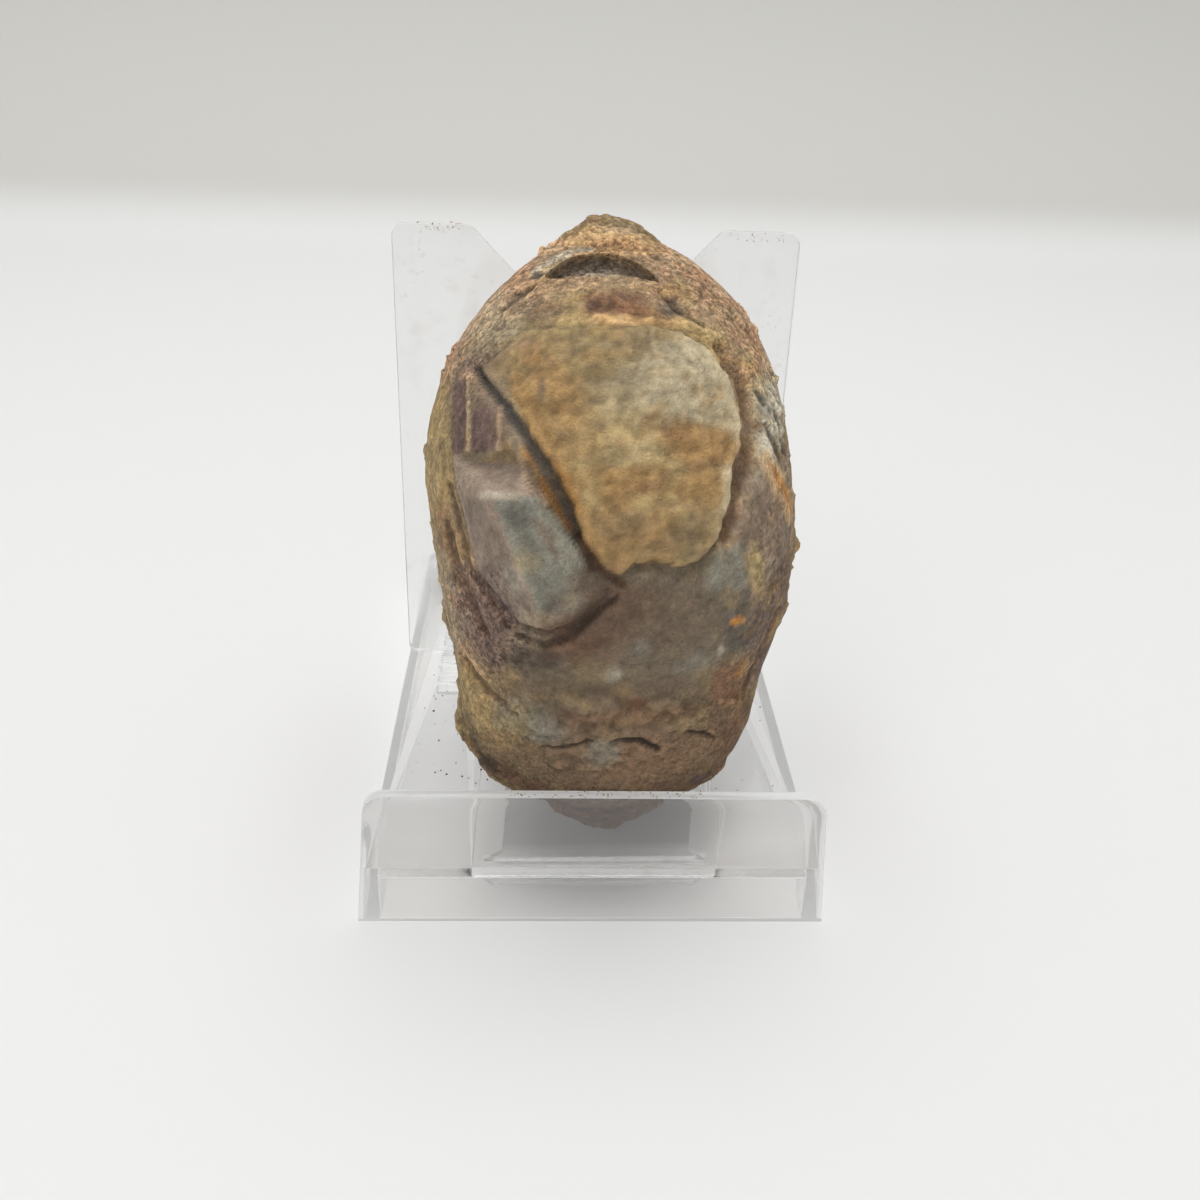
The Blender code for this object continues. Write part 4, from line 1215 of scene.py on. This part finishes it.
@dataclass
class Crumbs:
    """Grit from the stone on the tray, the lip and the back plate's arms."""

    seed: int = 7
    stretch: tuple = (0.6, 1.0)
    shade: tuple = (0.6, 1.2)
    places: tuple = (
        Scatter((-35.0, -40.0, 11.5), (-18.0, -2.0, 11.5), 44, (0.1, 0.34), Hue.LIVER),
        Scatter((20.0, -42.0, 11.5), (38.0, 8.0, 11.5), 34, (0.08, 0.24), Hue.LIVER),
        Scatter((-36.0, -8.0, 11.5), (-28.0, 12.0, 11.5), 12, (0.08, 0.2), Hue.LIVER),
        Scatter((-15.0, -59.0, 28.0), (18.0, -57.2, 28.0), 90, (0.1, 0.28), Hue.CHALK),
        Scatter((-38.0, -59.1, 14.0), (38.0, -59.1, 27.0), 12, (0.06, 0.16), Hue.UMBER),
        Scatter((-35.0, 0.0, 105.0), (-26.0, 0.0, 106.6), 34, (0.06, 0.2), Hue.TAN, True),
        Scatter((-36.5, 0.0, 92.0), (-34.0, 0.0, 105.0), 14, (0.05, 0.12), Hue.UMBER, True),
        Scatter((25.0, 0.0, 104.4), (37.0, 0.0, 106.2), 34, (0.06, 0.18), Hue.TAN, True),
        Scatter((30.0, 0.0, 86.0), (37.0, 0.0, 92.0), 16, (0.05, 0.12), Hue.UMBER, True),
    )

    def build(self) -> bpy.types.Object:
        """Make every crumb as a small lump of twenty faces, turned and stretched at random."""
        shape = bmesh.new()
        bmesh.ops.create_icosphere(shape, subdivisions=1, radius=1.0)
        lump = np.array([vert.co[:] for vert in shape.verts])
        faces = np.array([[vert.index for vert in face.verts] for face in shape.faces])
        shape.free()
        dice = np.random.default_rng(self.seed)
        plate = BackPlate()
        points, sides, tints = [], [], []
        for place in self.places:
            for _ in range(place.count):
                middle = dice.uniform(place.low, place.high)
                if place.leans:
                    middle[1] = STAND_Y + plate.face_at(middle[2] - BASE_TOP)
                stretch = dice.uniform(*place.size) * dice.uniform(*self.stretch, 3)
                turn = np.array(Euler(dice.uniform(0, 2 * math.pi, 3)).to_matrix())
                sides.append(faces + len(lump) * len(points))
                points.append(((lump * stretch) @ turn.T + middle) * MM)
                tints.append(np.tile((*place.hue.pigment * dice.uniform(*self.shade), 1.0), (len(lump), 1)))
        grit = mesh_object("crumbs", np.vstack(points), np.vstack(sides).tolist())
        note_points(grit, "tint", np.vstack(tints))
        seat_piece(grit, "rusty_stone")
        return grit


# ---------------------------------------------------------------- stage, light and camera


@dataclass
class Studio:
    """A pale sweep, soft light from above and the camera; in metres, where nothing else is said."""

    floor_front: float = -1.6
    floor_back: float = 0.46
    bend: float = 0.16
    bend_steps: int = 24
    wall: float = 0.9
    half_width: float = 3.0
    floor_tint: tuple = (0.85, 0.85, 0.845, 1.0)
    # the rising sheet is painted darker than the floor: painted shade for the dimmer wall
    wall_shaded_tint: tuple = (0.655, 0.65, 0.62, 1.0)
    change: tuple = (0.0, 0.024)  # floor tint turns to the wall's painted shade from the one height to the other
    dullness: float = 0.75
    shine: float = 0.25
    air: float = 0.5  # strength of the light from all around
    boxes: tuple = (("overhead_box", (0.0, -0.05, 1.2), 1.2, 8.4), ("front_box", (-0.5, -0.9, 0.8), 0.7, 2.2))
    aim: tuple = (0.0, 0.0, 0.05)
    camera_place: tuple = (-8.758, -220.832, 154.727)  # mm
    camera_turn: tuple = (61.314, -1.868, -1.833)  # degrees
    lens: float = 36.0  # mm, on a sensor as wide
    nearest: float = 0.01

    def sweep(self) -> None:
        """Floor, bend and wall in one sheet: a profile carried along x.

        The bend is a quarter circle: y grows by its radius times the sine, z by 1 minus the cosine.
        """
        arc = np.linspace(0, math.pi / 2, self.bend_steps)
        rear = self.floor_back + self.bend
        y = np.concatenate(([self.floor_front], self.floor_back + self.bend * np.sin(arc), [rear]))
        z = np.concatenate(([0.0], self.bend * (1 - np.cos(arc)), [self.wall]))
        count = len(y)
        rows = [np.column_stack((np.full(count, side * self.half_width), y, z)) for side in (-1, 1)]
        first = np.arange(count - 1)
        faces = np.stack((first, first + count, first + count + 1, first + 1), axis=1)
        stage = mesh_object("paper_sweep", np.vstack(rows), faces.tolist())
        paper, shader, nodes = new_material("paper")
        height = nodes.ramp(nodes.add("SeparateXYZ", Vector=nodes.place()).outputs["Z"], *self.change)
        nodes.fill(shader, Base_Color=nodes.mix(height, self.floor_tint, self.wall_shaded_tint))
        nodes.fill(shader, Roughness=self.dullness, Specular_IOR_Level=self.shine)
        stage.data.materials.append(paper)

    def soft_box(self, name: str, place: tuple, size: float, power: float) -> None:
        """A square lamp aimed at the stone; power in watts."""
        light = bpy.data.lights.new(name, "AREA")
        light.shape = "SQUARE"
        light.size = size
        light.energy = power
        holder = scene_object(name, light)
        holder.location = place
        holder.rotation_euler = (Vector(self.aim) - Vector(place)).to_track_quat("-Z", "Y").to_euler()

    def build(self) -> None:
        """Set up sweep, world, soft boxes and camera."""
        self.sweep()
        world = bpy.data.worlds.new("studio_air")
        world.use_nodes = True
        nodes = Nodes(world.node_tree)
        nodes.fill(world.node_tree.nodes["Background"], Color=(1.0, 1.0, 1.0, 1.0), Strength=self.air)
        bpy.context.scene.world = world
        for box in self.boxes:
            self.soft_box(*box)
        bpy.context.scene.view_settings.view_transform = "Standard"
        camera = bpy.data.cameras.new("camera")
        camera.lens = camera.sensor_width = self.lens
        camera.clip_start = self.nearest
        holder = scene_object("camera", camera)
        holder.location = Vector(self.camera_place) * MM
        holder.rotation_euler = [math.radians(angle) for angle in self.camera_turn]
        bpy.context.scene.camera = holder


def main() -> None:
    """Build and dress every piece."""
    logging.basicConfig(level=logging.INFO, format="%(name)s: %(message)s")
    Studio().build()
    grain, scuffs = stone_grain_group(), scuff_and_shade_group()
    Nodule().build().data.materials.append(StoneFinish().material(grain))
    Crumbs().build().data.materials.append(StoneFinish("grit").material(grain))
    BaseTray().build(scuffs)
    BackPlate().build(scuffs)


if __name__ == "__main__":
    main()
